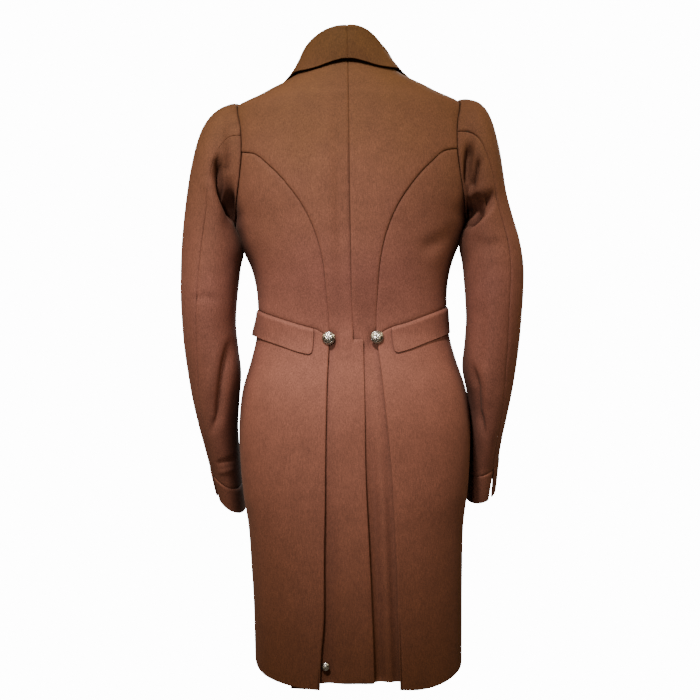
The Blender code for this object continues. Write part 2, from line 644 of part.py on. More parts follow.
def arm_seat(turn):
    """How far out of the panels the sleeve starts: it stands on them, but lies on them at the armpit."""
    from_top = abs((turn + 180) % 360 - 180)
    return (1.2 + 1.6 * float(ease(from_top, 105, 150))) * MM


def add_sleeve(side):
    """A sleeve of two pieces, joined along the hindarm and the forearm."""
    for name, turns in (("sleeve_top", TOP_TURNS), ("sleeve_under", UNDER_TURNS)):
        grid = [[raised(*armhole(t), arm_seat(t)) for t in turns]]
        for number, row in enumerate(ARM):
            shift = float(hindarm[side](number)) - HIND_ARM
            if name == "sleeve_top":
                share = (turns - turns[0]) / (turns[-1] - turns[0])
            else:
                share = (turns[-1] - turns) / (turns[-1] - turns[0])
            grid.append(arm_ring(row, turns + shift * share, side, number + 1))
        points, faces = loft(drawn_in(grid, gap=SLEEVE_SEAM))
        add_sheet(name, points, [face[::-1] for face in faces], side)


def add_cuff(side):
    """A cuff band, open at the hindarm seam."""
    seam = float(hindarm[side](HINDARM[-1].section))
    grid = []
    for row, gap in zip(CUFF, CUFF_VENT):
        turns = np.linspace(seam + gap, seam + 360 - gap, 20)
        grid.append(arm_ring(row, turns, side))
    points, faces = loft(drawn_in(grid, sides=False, gap=SLEEVE_SEAM))
    add_sheet("cuff", points, [face[::-1] for face in faces], side)


def button_mesh(name, diameter):
    """A domed button's outline, to be turned round its middle."""
    radius = diameter / 2
    mesh = bpy.data.meshes.new(name)
    profile = [(share * radius, 0, height * radius) for share, height in DOME]
    mesh.from_pydata(profile, [(i, i + 1) for i in range(len(profile) - 1)], [])
    mesh.materials.append(metal)
    return mesh


def add_button(name, mesh, place, normal):
    button = bpy.data.objects.new(name, mesh)
    coat.objects.link(button)
    up = Vector(normal).normalized()
    spin = up.to_track_quat("Z", "Y").to_matrix().to_4x4()
    button.matrix_world = Matrix.Translation(Vector(place)) @ spin
    turned = button.modifiers.new("turned", "SCREW")
    turned.angle = 2 * pi
    turned.steps = turned.render_steps = 16
    turned.use_merge_vertices = True
    turned.merge_threshold = 0.00001
    turned.use_normal_calculate = True


def seat_on(turn, z, lift):
    """Where a button's flat back sits above the cloth, and which way it faces."""
    return raised(turn, z, lift + CLOTH / 2 + SEAM), outward(turn, z)


def add_buttons():
    large = button_mesh("hip_button", BUTTON)
    for side in SIDES:
        x, z = HIP_BUTTON
        place, normal = seat_on(float(turn_at(x, z)), z, HIP_BUTTON_LIFT)
        add_button(sided("hip_button", side), large, place * (side, 1, 1), normal * (side, 1, 1))
    small = button_mesh("pleat_button", SMALL_BUTTON)
    x = float(pleat_x[1](PLEAT_BUTTON_Z / MM)) * MM - SMALL_BUTTON / 2 - SEAM
    turn = float(turn_at(x, PLEAT_BUTTON_Z))
    lift = float(tail_lift(turn, PLEAT_BUTTON_Z, 1))
    add_button("pleat_button_left", small, *seat_on(turn, PLEAT_BUTTON_Z, lift))
    front = button_mesh("front_button", FRONT_BUTTON)
    for number, z in enumerate(FRONT_BUTTON_Z, 1):
        add_button(f"front_button_{number}", front, *seat_on(pi, z, LAYER))


clear_scene()
coat = bpy.data.collections.new("tailcoat")
bpy.context.scene.collection.children.link(coat)
cloth = material("brown_wool", (0.20, 0.085, 0.045), 0.85)
metal = material("pewter", (0.62, 0.58, 0.52), 0.35, 1.0)
for hand in (1, -1):
    add_back(hand)
    add_front(hand)
    add_skirt(hand)
    add_flap(hand)
    add_lapel(hand)
    add_collar(hand)
    add_sleeve(hand)
    add_cuff(hand)
add_buttons()
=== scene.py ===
from math import cos, pi, radians, sin
import bpy
import numpy as np
from mathutils import Euler, Matrix, Vector
from mathutils.geometry import delaunay_2d_cdt


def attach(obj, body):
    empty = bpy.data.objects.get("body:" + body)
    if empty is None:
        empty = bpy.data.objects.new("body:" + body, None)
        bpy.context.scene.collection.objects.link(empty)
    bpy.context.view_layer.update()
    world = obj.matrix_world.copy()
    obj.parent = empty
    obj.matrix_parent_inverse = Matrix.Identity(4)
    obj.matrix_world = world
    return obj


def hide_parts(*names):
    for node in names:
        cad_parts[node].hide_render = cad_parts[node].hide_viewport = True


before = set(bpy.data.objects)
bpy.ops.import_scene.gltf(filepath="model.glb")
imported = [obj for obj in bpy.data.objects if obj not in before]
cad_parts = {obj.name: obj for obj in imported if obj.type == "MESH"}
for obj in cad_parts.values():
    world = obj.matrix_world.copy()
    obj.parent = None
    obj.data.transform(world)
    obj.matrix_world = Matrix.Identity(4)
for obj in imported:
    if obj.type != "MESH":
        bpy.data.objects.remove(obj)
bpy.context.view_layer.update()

# A brown wool tailcoat in its worn form, seen from behind. Metres; x is the wearer's left,
# -y the wearer's front, and sizes in the tables are in mm unless a name says otherwise
mm = 0.001
print("frame loaded")

cloth = {
    "wall": 1.8,     # thickness of the broadcloth
    "layer": 3.0,     # from one layer to the next one lying on it
    "cell": 4.5,     # size of the mesh inside the panels
    "rowShare": 0.87,     # its rows' spacing, as a share of that
    "innerFrom": 4.6,     # where these cells begin, in from the edge
    "rimStep": 3.2,     # size of the mesh along the edges
    "rimRings": (1.0, 2.6),     # rings of points just inside them
    "ringClear": 0.85,     # a ring's point nearer than this share to another edge is left out
    "seamLip": 1.7,     # how deep a seam's two edges are turned in
    "edgeLip": 0.5,     # the same at a free edge
    "lipAt": [0, 1, 2.6, 5],    # places in from the edge, and the shares of the lip's depth there
    "lipShare": [1, 0.48, 0.13, 0],
    "seamGap": 0.35,     # between the edges of two panels
    "planRadius": 160,     # a turn is as long in the flat plan as on a circle of this radius
}
layer = cloth["layer"] * mm

bodyForm = {
    "z": [15, 0, -12, -24, -35, -50, -60, -69, -76, -87, -110, -150, -200, -240, -271, -300, -326, -360,
          -400, -430, -460, -500, -545, -600, -670, -720, -770, -850, -950, -1040],
    "halfWidth": [63, 66, 72, 81, 99, 130, 149, 169, 183, 191, 198, 203, 204, 198, 188, 179, 171, 161,
                  156, 157, 159, 169, 183, 190, 189, 185, 178, 174, 171, 169],
    "back": [60, 62, 68, 75, 81, 88, 92, 96, 98, 101, 107, 115, 121, 122, 121, 118, 115, 109,
             99, 92, 89, 96, 109, 118, 121, 121, 120, 119, 118, 117],
    "front": [60, 62, 68, 75, 80, 86, 89, 92, 94, 97, 104, 114, 123, 125, 124, 121, 117, 111,
              104, 102, 104, 109, 114, 118, 119, 118, 116, 113, 110, 108],
    "square": [2, 2, 2, 2, 2.05, 2.1, 2.1, 2.1, 2.1, 2.15, 2.2, 2.3, 2.35, 2.35, 2.3, 2.3, 2.25, 2.2,
               2.2, 2.2, 2.2, 2.25, 2.3, 2.3, 2.3, 2.3, 2.25, 2.2, 2.2, 2.2],
}

# Seams as turns round the body (degrees from the centre back) or as seen from behind
neckSeam = {"turn": [0, 30, 60, 90, 115, 136], "z": [0, -2, -7, -14, -32, -58], "step": 2.5, "lip": 0.3}
shoulderTurn, gorgeTurn = 90, 136     # where the shoulder seam and the lapel leave the neck
waistSeam = {"turn": [0, 24, 29, 50, 68, 80, 96, 128, 186],
             "z": [-467, -464, -456, -440, -425, -417, -412, -414, -426]}
sideBackSeam = {"z": [-165, -184, -202, -223, -244, -270, -306, -338, -403, -464],
                "x": [152, 130, 112, 95, 80, 66, 53, 46, 40, 38.5]}
skirtFront = {"z": [-414, -500, -620, -760, -900, -1035], "turn": [128, 124, 114, 104, 97, 93]}
armholeForm = {"top": -74.5, "half": 98.5, "backTurn": 21.5, "frontTurn": 26, "pointsPerDegree": 0.53}
sideArm, hindArm, foreArm = 82, 65, 218     # degrees round it to the side back seam and the sleeve's seams
frontEdgeTurn, breakZ = radians(186), -250 * mm


def smoothCurve(places, values):  # a smooth curve through values at given places
    order = np.argsort(places)
    places, values = np.asarray(places, float)[order], np.asarray(values, float)[order]
    slopes = np.gradient(values, places, axis=0)
    wide = (...,) + (None,) * (values.ndim - 1)

    def at(place):
        place = np.asarray(place, float)
        i = np.clip(np.searchsorted(places, place) - 1, 0, len(places) - 2)
        step = (places[i + 1] - places[i])[wide]
        t = np.clip((place - places[i])[wide] / step, 0, 1)
        start = values[i] * (1 + 2 * t) * (1 - t) ** 2 + slopes[i] * step * t * (1 - t) ** 2
        return start + values[i + 1] * t * t * (3 - 2 * t) - slopes[i + 1] * step * t * t * (1 - t)

    return at


def ease(value, low, high):
    t = np.clip((value - low) / (high - low), 0, 1)
    return t * t * (3 - 2 * t)


def spread(*parts):  # rising places: lists as they stand, tuples as from, to and how many
    places = [np.linspace(*part) if isinstance(part, tuple) else part for part in parts]
    return np.unique(np.concatenate(places))


def unit(vectors):
    return vectors / np.linalg.norm(vectors, axis=-1, keepdims=True)


def distanceAlong(points):
    return np.concatenate([[0], np.cumsum(np.linalg.norm(np.diff(points, axis=0), axis=1))])


formNames = ("halfWidth", "back", "front", "square")
formCurves = [smoothCurve(bodyForm["z"], bodyForm[name]) for name in formNames]


def bodySection(z):
    halfWidth, back, front, square = (curve(np.asarray(z) / mm) for curve in formCurves)
    return halfWidth * mm, back * mm, front * mm, square


def bodySurface(turn, z):
    turn, z = np.broadcast_arrays(np.asarray(turn, float), np.asarray(z, float))
    halfWidth, back, front, square = bodySection(z)
    depth = np.where(np.cos(turn) >= 0, back, front)
    reach = (np.abs(np.cos(turn)) / depth) ** square + (np.abs(np.sin(turn)) / halfWidth) ** square
    reach = reach ** (-1 / square)
    return np.stack([reach * np.sin(turn), reach * np.cos(turn), z], axis=-1)


def outward(turn, z):
    turnStep, heightStep = 0.004, 1.5 * mm
    across = bodySurface(np.add(turn, turnStep), z) - bodySurface(np.subtract(turn, turnStep), z)
    up = bodySurface(turn, np.add(z, heightStep)) - bodySurface(turn, np.subtract(z, heightStep))
    return unit(np.cross(up, across))


def raised(turn, z, lift=0.0):
    return bodySurface(turn, z) + outward(turn, z) * np.asarray(lift, float)[..., None]


def lyingOver(points, lift):  # points moved out of the body where they aren't that far out already
    for _ in range(4):
        turn = np.arctan2(points[..., 0], points[..., 1])
        normal = outward(turn, points[..., 2])
        out = np.sum((points - bodySurface(turn, points[..., 2])) * normal, axis=-1)
        points = points + normal * np.maximum(lift - out, 0)[..., None]
    return points


def turnAt(x, z, front=False):  # the turn of the body's point seen at x from behind or from the front
    halfWidth, back, frontDepth, square = bodySection(z)
    share = np.clip(1 - (np.abs(x) / halfWidth) ** square, 0, 1) ** (1 / square)
    return np.arctan2(x, (-frontDepth if front else back) * share)


# Panels are cut in a flat plan: turns across, lengths along the body down
planZ = np.linspace(20, -1045, 1066) * mm
planHalf, planBack, _, _ = bodySection(planZ)
planSlope = np.gradient((planHalf + planBack) / 2, planZ)
planDown = np.concatenate([[0], np.cumsum(np.sqrt(1 + planSlope[1:] ** 2) * mm)])


def planFromZ(z):
    return -np.interp(-np.asarray(z), -planZ, planDown)


def zFromPlan(v):
    return np.interp(-np.asarray(v), planDown, planZ)


def run(points, lip=cloth["seamLip"]):  # evenly spaced (turn, z) points and their lip
    points = np.asarray(points, float)
    lengths = distanceAlong(bodySurface(points[:, 0], points[:, 1]))
    steps = max(1, round(lengths[-1] / (cloth["rimStep"] * mm)))
    stops = np.linspace(0, lengths[-1], steps + 1)
    if len(points) == 2:
        placed = points[0] + (points[1] - points[0]) * (stops / lengths[-1])[:, None]
    else:
        placed = smoothCurve(lengths, points)(stops)
    return np.column_stack([placed, np.full(len(placed), lip)])


def joined(*runs):
    return np.concatenate([points[:-1] for points in runs])


def seenFromBehind(seam):
    x, z = np.array(seam["x"]) * mm, np.array(seam["z"]) * mm
    return np.column_stack([turnAt(x, z), z])


def armhole(degrees):  # 0 at the top of the armhole, 90 behind
    around = np.radians(degrees)
    reach = np.where(np.sin(around) > 0, armholeForm["backTurn"], armholeForm["frontTurn"])
    z = armholeForm["top"] - armholeForm["half"] * (1 - np.cos(around))
    return np.radians(90 - reach * np.sin(around)), z * mm


neckZ = smoothCurve(neckSeam["turn"], neckSeam["z"])
waistZ = smoothCurve(waistSeam["turn"], waistSeam["z"])
skirtEdge = smoothCurve(skirtFront["z"], skirtFront["turn"])


def neckPoint(degrees):
    return radians(degrees), float(neckZ(degrees)) * mm


def neckPoints(start, end):
    turns = np.linspace(start, end, round(abs(end - start) / neckSeam["step"]) + 1)
    return np.column_stack([np.radians(turns), neckZ(turns) * mm, np.full(len(turns), neckSeam["lip"])])


def waistPoints(turns):
    return np.column_stack([turns, waistZ(np.degrees(turns)) * mm])


def armholePoints(start, end):
    degrees = np.linspace(start, end, round(abs(end - start) * armholeForm["pointsPerDegree"]) + 1)
    return np.column_stack([*armhole(degrees), np.full(len(degrees), cloth["seamLip"])])


sideSeam = run(np.vstack([np.column_stack(armhole([sideArm])), seenFromBehind(sideBackSeam)]))
shoulderSeam = run([neckPoint(shoulderTurn), np.ravel(armhole([0]))])
waistFrom, waistTo = sideSeam[-1, 0], radians(skirtFront["turn"][0])


def rollLine(shares):  # the lapel's roll, nearly straight from the gorge to its end at the front edge
    first, last = bodySurface(*neckPoint(gorgeTurn)), bodySurface(frontEdgeTurn, breakZ)
    way = first + (last - first) * np.asarray(shares)[:, None]
    return np.column_stack([turnAt(way[:, 0], way[:, 2], front=True) % (2 * pi), way[:, 2]])


# A crease is a soft trough (depth below 0) or ridge on the left (1), the right (-1) or both (0): a path
# over the coat as it is seen, in mm (x, z), its width, or the widths on its outer and inner side where
# the path runs down, and the shares of its length in which it grows and dies away
def crease(side, path, width, depth, fade=(0.3, 0.3), seen="behind"):
    return {"side": side, "path": np.array(path, float), "width": width, "depth": depth, "fade": fade,
            "seen": seen}


def creaseDepth(points, normals, creases):
    total = np.zeros(len(points))
    x, z = points[:, 0] / mm, points[:, 2] / mm
    back = normals[:, 1]
    facing = {"behind": ease(back, -0.1, 0.35), "front": ease(-back, -0.1, 0.35), "around": 1}
    for look in creases:
        path = look["path"]
        outerWidth, innerWidth = np.broadcast_to(look["width"], 2)
        width = np.full(len(points), float(outerWidth))
        best = np.full(len(points), np.inf)
        along = np.zeros(len(points))
        lengths = np.linalg.norm(np.diff(path, axis=0), axis=1)
        walked = 0
        for (x0, z0), (dx, dz), length in zip(path, np.diff(path, axis=0), lengths):
            t = np.clip(((x - x0) * dx + (z - z0) * dz) / length ** 2, 0, 1)
            gap = np.hypot(x - x0 - t * dx, z - z0 - t * dz)
            nearer = gap < best
            best = np.where(nearer, gap, best)
            beside = (dx * (z - z0) - dz * (x - x0)) / length
            blended = innerWidth + (outerWidth - innerWidth) * ease(beside, -3, 3)
            width = np.where(nearer, blended, width)
            along = np.where(nearer, (walked + t * length) / lengths.sum(), along)
            walked += length
        fade = 1
        for place, reach in zip((along, 1 - along), look["fade"]):
            fade = fade * ease(place, -0.02, max(reach, 0.01))
        total += look["depth"] * np.exp(-(best / width) ** 2) * fade * facing[look["seen"]]
    return total


waver = [     # the slight waver of hung cloth: each wave's rates along x, y and z, its phase and its size
    (31, 12, 17, 0.3, 0.30), (-22, 34, 9, 1.9, 0.28), (52, -18, 26, 4.1, 0.16),
    (17, 45, -38, 2.6, 0.16), (-64, 30, 12, 5.2, 0.10), (24, -70, 47, 0.8, 0.08),
]


def unevenness(points):
    x, y, z = points[:, 0], points[:, 1], points[:, 2]
    return sum(size * np.sin(a * x + b * y + c * z + phase) for a, b, c, phase, size in waver)


def rimDistance(rim, points):  # distance to the outline, below 0 outside it, and the nearest rim point
    ends = np.roll(rim, -1, axis=0)
    (x, y), (across, up) = rim.T, (ends - rim).T
    distance, nearest = np.empty(len(points)), np.empty(len(points), int)
    batch = 2000
    for low in range(0, len(points), batch):
        these = slice(low, low + batch)
        u, v = points[these, 0, None], points[these, 1, None]
        t = np.clip(((u - x) * across + (v - y) * up) / (across * across + up * up), 0, 1)
        gap = np.hypot(x + t * across - u, y + t * up - v)
        crosses = (y > v) != (ends[:, 1] > v)
        rise = np.where(crosses, up, 1)
        inside = np.sum(crosses & (u < across * (v - y) / rise + x), axis=1) % 2
        nearest[these] = np.argmin(gap, axis=1)
        distance[these] = np.min(gap, axis=1) * np.where(inside == 1, 1, -1)
    return distance, nearest


lipShape = smoothCurve(cloth["lipAt"], cloth["lipShare"])


def cutPanel(outline):  # a panel's mesh: turns, heights, the lip's drop and faces
    plan = np.column_stack([outline[:, 0] * cloth["planRadius"] * mm, planFromZ(outline[:, 1])])
    area = np.sum(plan[:, 0] * np.roll(plan[:, 1], -1) - np.roll(plan[:, 0], -1) * plan[:, 1])
    if area < 0:
        plan, outline = plan[::-1], outline[::-1]
    way = unit(plan - np.roll(plan, 1, axis=0)) + unit(np.roll(plan, -1, axis=0) - plan)
    inward = unit(np.column_stack([-way[:, 1], way[:, 0]]))
    rim = plan + inward * cloth["seamGap"] / 2 * mm
    rings = []
    for reach in cloth["rimRings"]:
        ring = rim + inward * reach * mm
        found, _ = rimDistance(rim, ring)
        rings.append(ring[found > cloth["ringClear"] * reach * mm])
    cell = cloth["cell"] * mm
    inner = []
    for row, v in enumerate(np.arange(rim[:, 1].max(), rim[:, 1].min(), -cell * cloth["rowShare"])):
        u = np.arange(rim[:, 0].min(), rim[:, 0].max(), cell) + (row % 2) * cell / 2
        inner.append(np.column_stack([u, np.full(len(u), v)]))
    inner = np.concatenate(inner)
    found, _ = rimDistance(rim, inner)
    inner = inner[found > cloth["innerFrom"] * mm]
    points = np.concatenate([rim, *rings, inner])
    insideOnly, sameWithin = 1, 1e-9
    placed, _, faces, _, _, _ = delaunay_2d_cdt([Vector(p) for p in points.tolist()], [],
                                                [list(range(len(rim)))], insideOnly, sameWithin)
    placed = np.array([tuple(p) for p in placed])
    distance, nearest = rimDistance(rim, placed)
    lip = outline[nearest, 2] * lipShape(distance / mm)
    faces = [face[::-1] for face in faces]     # turned so that the outer face looks out
    return placed[:, 0] / (cloth["planRadius"] * mm), zFromPlan(placed[:, 1]), lip * mm, faces


def meshNormals(points, faces):
    normals = np.zeros_like(points)
    for corners in {len(face) for face in faces}:
        these = np.array([face for face in faces if len(face) == corners])
        first, second, last = (points[these[:, corner]] for corner in (0, 1, -1))
        flat = np.cross(second - first, last - first)
        for corner in range(corners):
            np.add.at(normals, these[:, corner], flat)
    return normals / np.maximum(np.linalg.norm(normals, axis=1, keepdims=True), 1e-12)


def word(side):
    return "Left" if side > 0 else "Right"


def node(name, side):
    return f"{name}_{word(side).lower()}"


def addMesh(name, points, faces, material):
    mesh = bpy.data.meshes.new(name)
    mesh.from_pydata(points, [], faces)
    mesh.shade_smooth()
    mesh.materials.append(material)
    made = bpy.data.objects.new(name, mesh)
    bpy.context.scene.collection.objects.link(made)
    return made


# Points are given on the wearer's left side, and hold is the share (0 to 1) by which creases may
# move each of them. The waver isn't the same on both sides
def addCloth(name, points, faces, side, wall=cloth["wall"], creases=(), hold=1.0):
    points = np.array(points, float)
    normals = meshNormals(points, faces)
    moved = creaseDepth(points, normals, [c for c in creases if c["side"] in (0, side)])
    moved = (moved + unevenness(points * (side, 1, 1) + (0, 0, 0.1 * side))) * hold
    points = points + normals * moved[:, None] * mm
    points[:, 0] *= side
    piece = addMesh(name + word(side), points.tolist(), [face[::side] for face in faces], wool)
    solid = piece.modifiers.new("cloth", "SOLIDIFY")
    solid.thickness = wall * mm
    solid.offset = 0
    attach(piece, "root")
    return piece


def gridFaces(rows, columns, flip=False):
    r, c = np.meshgrid(np.arange(rows - 1), np.arange(columns - 1), indexing="ij")
    corner = (r * columns + c).ravel()
    faces = np.stack([corner, corner + columns, corner + columns + 1, corner + 1], axis=1)
    return (faces[:, ::-1] if flip else faces).tolist()


def addGrid(name, grid, side, lift=0.0, hold=1.0, flip=False, **more):  # lift is in mm
    points, faces = grid.reshape(-1, 3), gridFaces(*grid.shape[:2], flip)
    lift, hold = (np.broadcast_to(value, grid.shape[:2]).ravel() for value in (lift, hold))
    points = points + meshNormals(points, faces) * lift[:, None] * mm
    return addCloth(name, points, faces, side, hold=hold, **more)


# Brown wool broadcloth: felted, with a short nap brushed down. Its colour is painted light by height: warmer
# at the top for the warm light from above, and darker at the hem as painted shade
woolLook = {
    "top": (0.145, 0.063, 0.019, 1),
    "middle": (0.206, 0.074, 0.050, 1),
    "low": (0.106, 0.034, 0.0115, 1),
    "paintedLightFadeZ": (-0.98, 0.12),     # metres, from the low colour (painted shade) up to the top one (painted warm light)
    "middleAt": 0.62,
    "blotch": {"scale": 9, "detail": 3},
    "blotchShift": 0.16,     # metres that this fade wanders up and down
    "nap": {"scale": 900, "detail": 3, "stretch": (1, 1, 0.14)},
    "fibre": {"scale": 620, "detail": 4},
    "cloud": {"scale": 38, "detail": 2},
    "shades": {"nap": (0.80, 1.20), "fibre": (0.78, 1.22), "cloud": (0.93, 1.07)},
    "hollow": 40,     # painted shade: the colour is darkened inside folds, seams and recesses that are this narrow
    "hollowOpen": (0.2, 0.92),
    "hollowShade": (0.42, 1.0),
    "bump": 0.25,
    "bumpHeight": 0.35,
    "shader": {"Roughness": 0.8, "Specular IOR Level": 0.25, "Sheen Weight": 0.04, "Sheen Roughness": 0.45,
               "Sheen Tint": (0.75, 0.5, 0.38, 1)},
}
# Silvered pewter, bright where it is rubbed and dark in its hollows
metalLook = {
    "bright": (0.88, 0.84, 0.76, 1),
    "dark": (0.22, 0.19, 0.16, 1),
    "rubbed": (0.15, 0.75),     # heights of the relief, from dark to bright
    "tarnish": {"scale": 900, "detail": 4},
    "tarnishShade": (0.75, 1.0),
    "roughness": (0.18, 0.34),
}
noiseRange = (0.3, 0.7)     # nearly all of a noise's values


def nodeTree(name):
    made = bpy.data.materials.new(name)
    made.use_nodes = True
    return made, made.node_tree


def feed(tree, box, inputs):  # each input is a value or another node's output
    for name, value in inputs.items():
        if isinstance(value, bpy.types.NodeSocket):
            tree.links.new(value, box.inputs[name])
        else:
            box.inputs[name].default_value = value


def addNode(tree, kind, inputs={}, **settings):
    box = tree.nodes.new("ShaderNode" + kind)
    for name, value in settings.items():
        setattr(box, name, value)
    feed(tree, box, inputs)
    return box


def mixColours(tree, blend, amount, first, second):
    box = addNode(tree, "Mix", {0: amount, 6: first, 7: second}, data_type="RGBA", blend_type=blend)
    return box.outputs[2]     # these are its sockets for colours


def reckon(tree, operation, *values):
    return addNode(tree, "Math", dict(enumerate(values)), operation=operation).outputs[0]


def grain(tree, place, scale, detail, stretch=(1, 1, 1)):
    stretched = addNode(tree, "Mapping", {"Vector": place, "Scale": stretch}).outputs["Vector"]
    return addNode(tree, "TexNoise", {"Vector": stretched, "Scale": scale, "Detail": detail}).outputs["Fac"]


def levels(tree, value, taken, given=(0, 1)):  # a value's range changed into another
    limits = dict(zip(("From Min", "From Max", "To Min", "To Max"), (*taken, *given)))
    return addNode(tree, "MapRange", {"Value": value, **limits}).outputs["Result"]


def darkened(tree, colour, shade):
    grey = addNode(tree, "CombineColor", {channel: shade for channel in range(3)}).outputs[0]
    return mixColours(tree, "MULTIPLY", 1.0, colour, grey)


def makeWool(look):
    made, tree = nodeTree("brownWool")
    place = addNode(tree, "TexCoord").outputs["Object"]
    z = addNode(tree, "SeparateXYZ", {"Vector": place}).outputs["Z"]
    # painted light by height: a warm top for the light from above, and painted shade darkening towards the
    # hem
    height = reckon(tree, "MULTIPLY_ADD", grain(tree, place, **look["blotch"]), look["blotchShift"], z)
    down = addNode(tree, "ValToRGB", {"Fac": levels(tree, height, look["paintedLightFadeZ"])})
    ramp = down.color_ramp.elements
    ramp[0].color = look["low"]
    ramp[1].color = look["top"]
    ramp.new(look["middleAt"]).color = look["middle"]
    # painted shade: ambient occlusion darkens the base colour in folds, seams, pleats, pockets and armpits
    hollow = addNode(tree, "AmbientOcclusion", {"Distance": look["hollow"] * mm}, samples=8)
    inside = levels(tree, hollow.outputs["AO"], look["hollowOpen"], look["hollowShade"])
    colour = darkened(tree, down.outputs["Color"], inside)
    grains = {}
    for name, shades in look["shades"].items():
        grains[name] = grain(tree, place, **look[name])
        colour = darkened(tree, colour, levels(tree, grains[name], noiseRange, shades))
    surface = reckon(tree, "ADD", grains["nap"], grains["fibre"])
    bump = addNode(tree, "Bump", {"Strength": look["bump"], "Distance": look["bumpHeight"] * mm,
                                  "Height": surface})
    feed(tree, tree.nodes["Principled BSDF"],
         {**look["shader"], "Base Color": colour, "Normal": bump.outputs["Normal"]})
    return made


def makePewter(look):
    made, tree = nodeTree("silveredPewter")
    place = addNode(tree, "TexCoord").outputs["Object"]
    relief = addNode(tree, "Attribute", attribute_name="relief").outputs["Fac"]
    tarnish = grain(tree, place, **look["tarnish"])
    patchy = levels(tree, tarnish, noiseRange, look["tarnishShade"])
    share = reckon(tree, "MULTIPLY", levels(tree, relief, look["rubbed"]), patchy)
    feed(tree, tree.nodes["Principled BSDF"], {
        "Base Color": mixColours(tree, "MIX", share, look["dark"], look["bright"]),
        "Roughness": levels(tree, tarnish, noiseRange, look["roughness"]),
        "Metallic": 1.0,
    })
    return made


wool = makeWool(woolLook)
pewter = makePewter(metalLook)
print("cloth and metal mixed")

toHem = (0.5, 0)     # the fade of a fold that runs on to the hem
backPanel = {
    "jogZ": -467, "tuck": 44, "ventUnder": 12,
    "vent": {"z": [-467, -550, -700, -791, -883, -959, -1018],
             "x": [-16.6, -17, -16.5, -19, -22, -23.6, -24.3]},
    "pleatZ": [-464, -540, -600, -690, -820, -920, -980, -1035],
    "pleatLeft": [38.5, 43, 45.5, 48, 52, 55.5, 61, 64],
    "pleatRight": [38.5, 47, 52.5, 58, 63, 64.5, 65, 65.3],
    "underZ": [-469, -476, -520, -560, -660, -790, -920, -1018],     # the tail's edge under the pleat
    "underReach": [-0.8, 20, 40, 44, 44, 44, 44, 44],
    "liftZ": [0, -430, -450, -464, -470, -485, -520, -1040],
    "liftLeft": [0, 0, 0.6, 1.4, 0.9, -1.0, -3.0, -3.0],
    "liftRight": [0, 0, -0.7, -1.8, -2.6, -4.1, -6.2, -6.2],
    "liftBeside": [0, 0, -0.7, -5.0, -6.2, -6.3, -6.4, -6.4],
    "besideX": (16, 36),     # from the tail's middle strip to the part beside it
    "sheet": {"flat": (0.225, 1.06), "area": 0.125},
    "creases": [
        crease(-1, [(162, -184), (159, -209), (168, -240), (176, -268)], 6, -4),
        crease(-1, [(26, -520), (30, -760), (34, -1016)], 11, -9, toHem),
        crease(-1, [(46, -560), (55, -760), (60, -1016)], 8, -4, toHem),
        crease(1, [(38, -640), (42, -820), (48, -1016)], 12, -5, toHem),
        crease(1, [(-12, -560), (-14, -800), (-16, -1016)], 12, 1.5, toHem),
    ],
}
pleatX = {side: smoothCurve(backPanel["pleatZ"], backPanel["pleat" + word(side)]) for side in (1, -1)}
liftCurves = {name: smoothCurve(backPanel["liftZ"], backPanel["lift" + name])
              for name in ("Left", "Right", "Beside")}


def tailLift(turn, z, side):
    middle, beside = liftCurves[word(side)](z / mm), liftCurves["Beside"](z / mm)
    low, high = (x * mm for x in backPanel["besideX"])
    return (middle + (beside - middle) * ease(bodySurface(turn, z)[..., 0], low, high)) * mm


def addBack(side):
    jogZ = backPanel["jogZ"] * mm
    underZ = np.array(backPanel["underZ"])
    under = seenFromBehind({"x": pleatX[side](underZ) + backPanel["underReach"], "z": underZ})
    vent = backPanel["vent"]
    if side < 0:
        vent = {"x": [-backPanel["ventUnder"]] * len(vent["z"]), "z": vent["z"]}
    vent = seenFromBehind(vent)
    free = cloth["edgeLip"]
    outline = joined(
        neckPoints(0, shoulderTurn), shoulderSeam, armholePoints(0, sideArm), sideSeam,
        run([sideSeam[-1, :2], under[0]], lip=0), run(under[:2], lip=0), run(under[1:], lip=0),
        run([under[-1], vent[-1]], lip=free), run(vent, lip=free)[::-1],
        run([vent[0], (0, jogZ)], lip=free), run([(0, jogZ), (0, 0)]))
    turn, z, lip, faces = cutPanel(outline)
    points = raised(turn, z, tailLift(turn, z, side) - lip)
    piece = addCloth("backPanel", points, faces, side, creases=backPanel["creases"])
    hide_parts(node("back", side))


frontPanel = {
    "waistMiddle": 155, "lapFrom": 158, "lapTo": 172,     # degrees
    "rollPoints": 12, "waistPoints": 30,
    "sheet": {"flat": (0.40, 0.46), "area": 0.135},
    "creases": [
        crease(-1, [(179, -287), (145, -309), (105, -330)], 13, -3),
        crease(1, [(190, -262), (180, -296), (168, -345)], 22, 4, (0.25, 0.5), "around"),
        crease(-1, [(190, -262), (180, -296), (168, -338)], 20, 3.2, (0.25, 0.5), "around"),
        crease(0, [(150, -180), (120, -230), (90, -300)], 16, -2, seen="front"),
        crease(0, [(120, -400), (90, -380), (40, -385)], 10, -1.5, seen="front"),
    ],
}


def lapOver(turn, side):  # the left forepart lies over the right one
    lap = layer * ease(np.degrees(turn), frontPanel["lapFrom"], frontPanel["lapTo"])
    return lap if side > 0 else 0 * lap


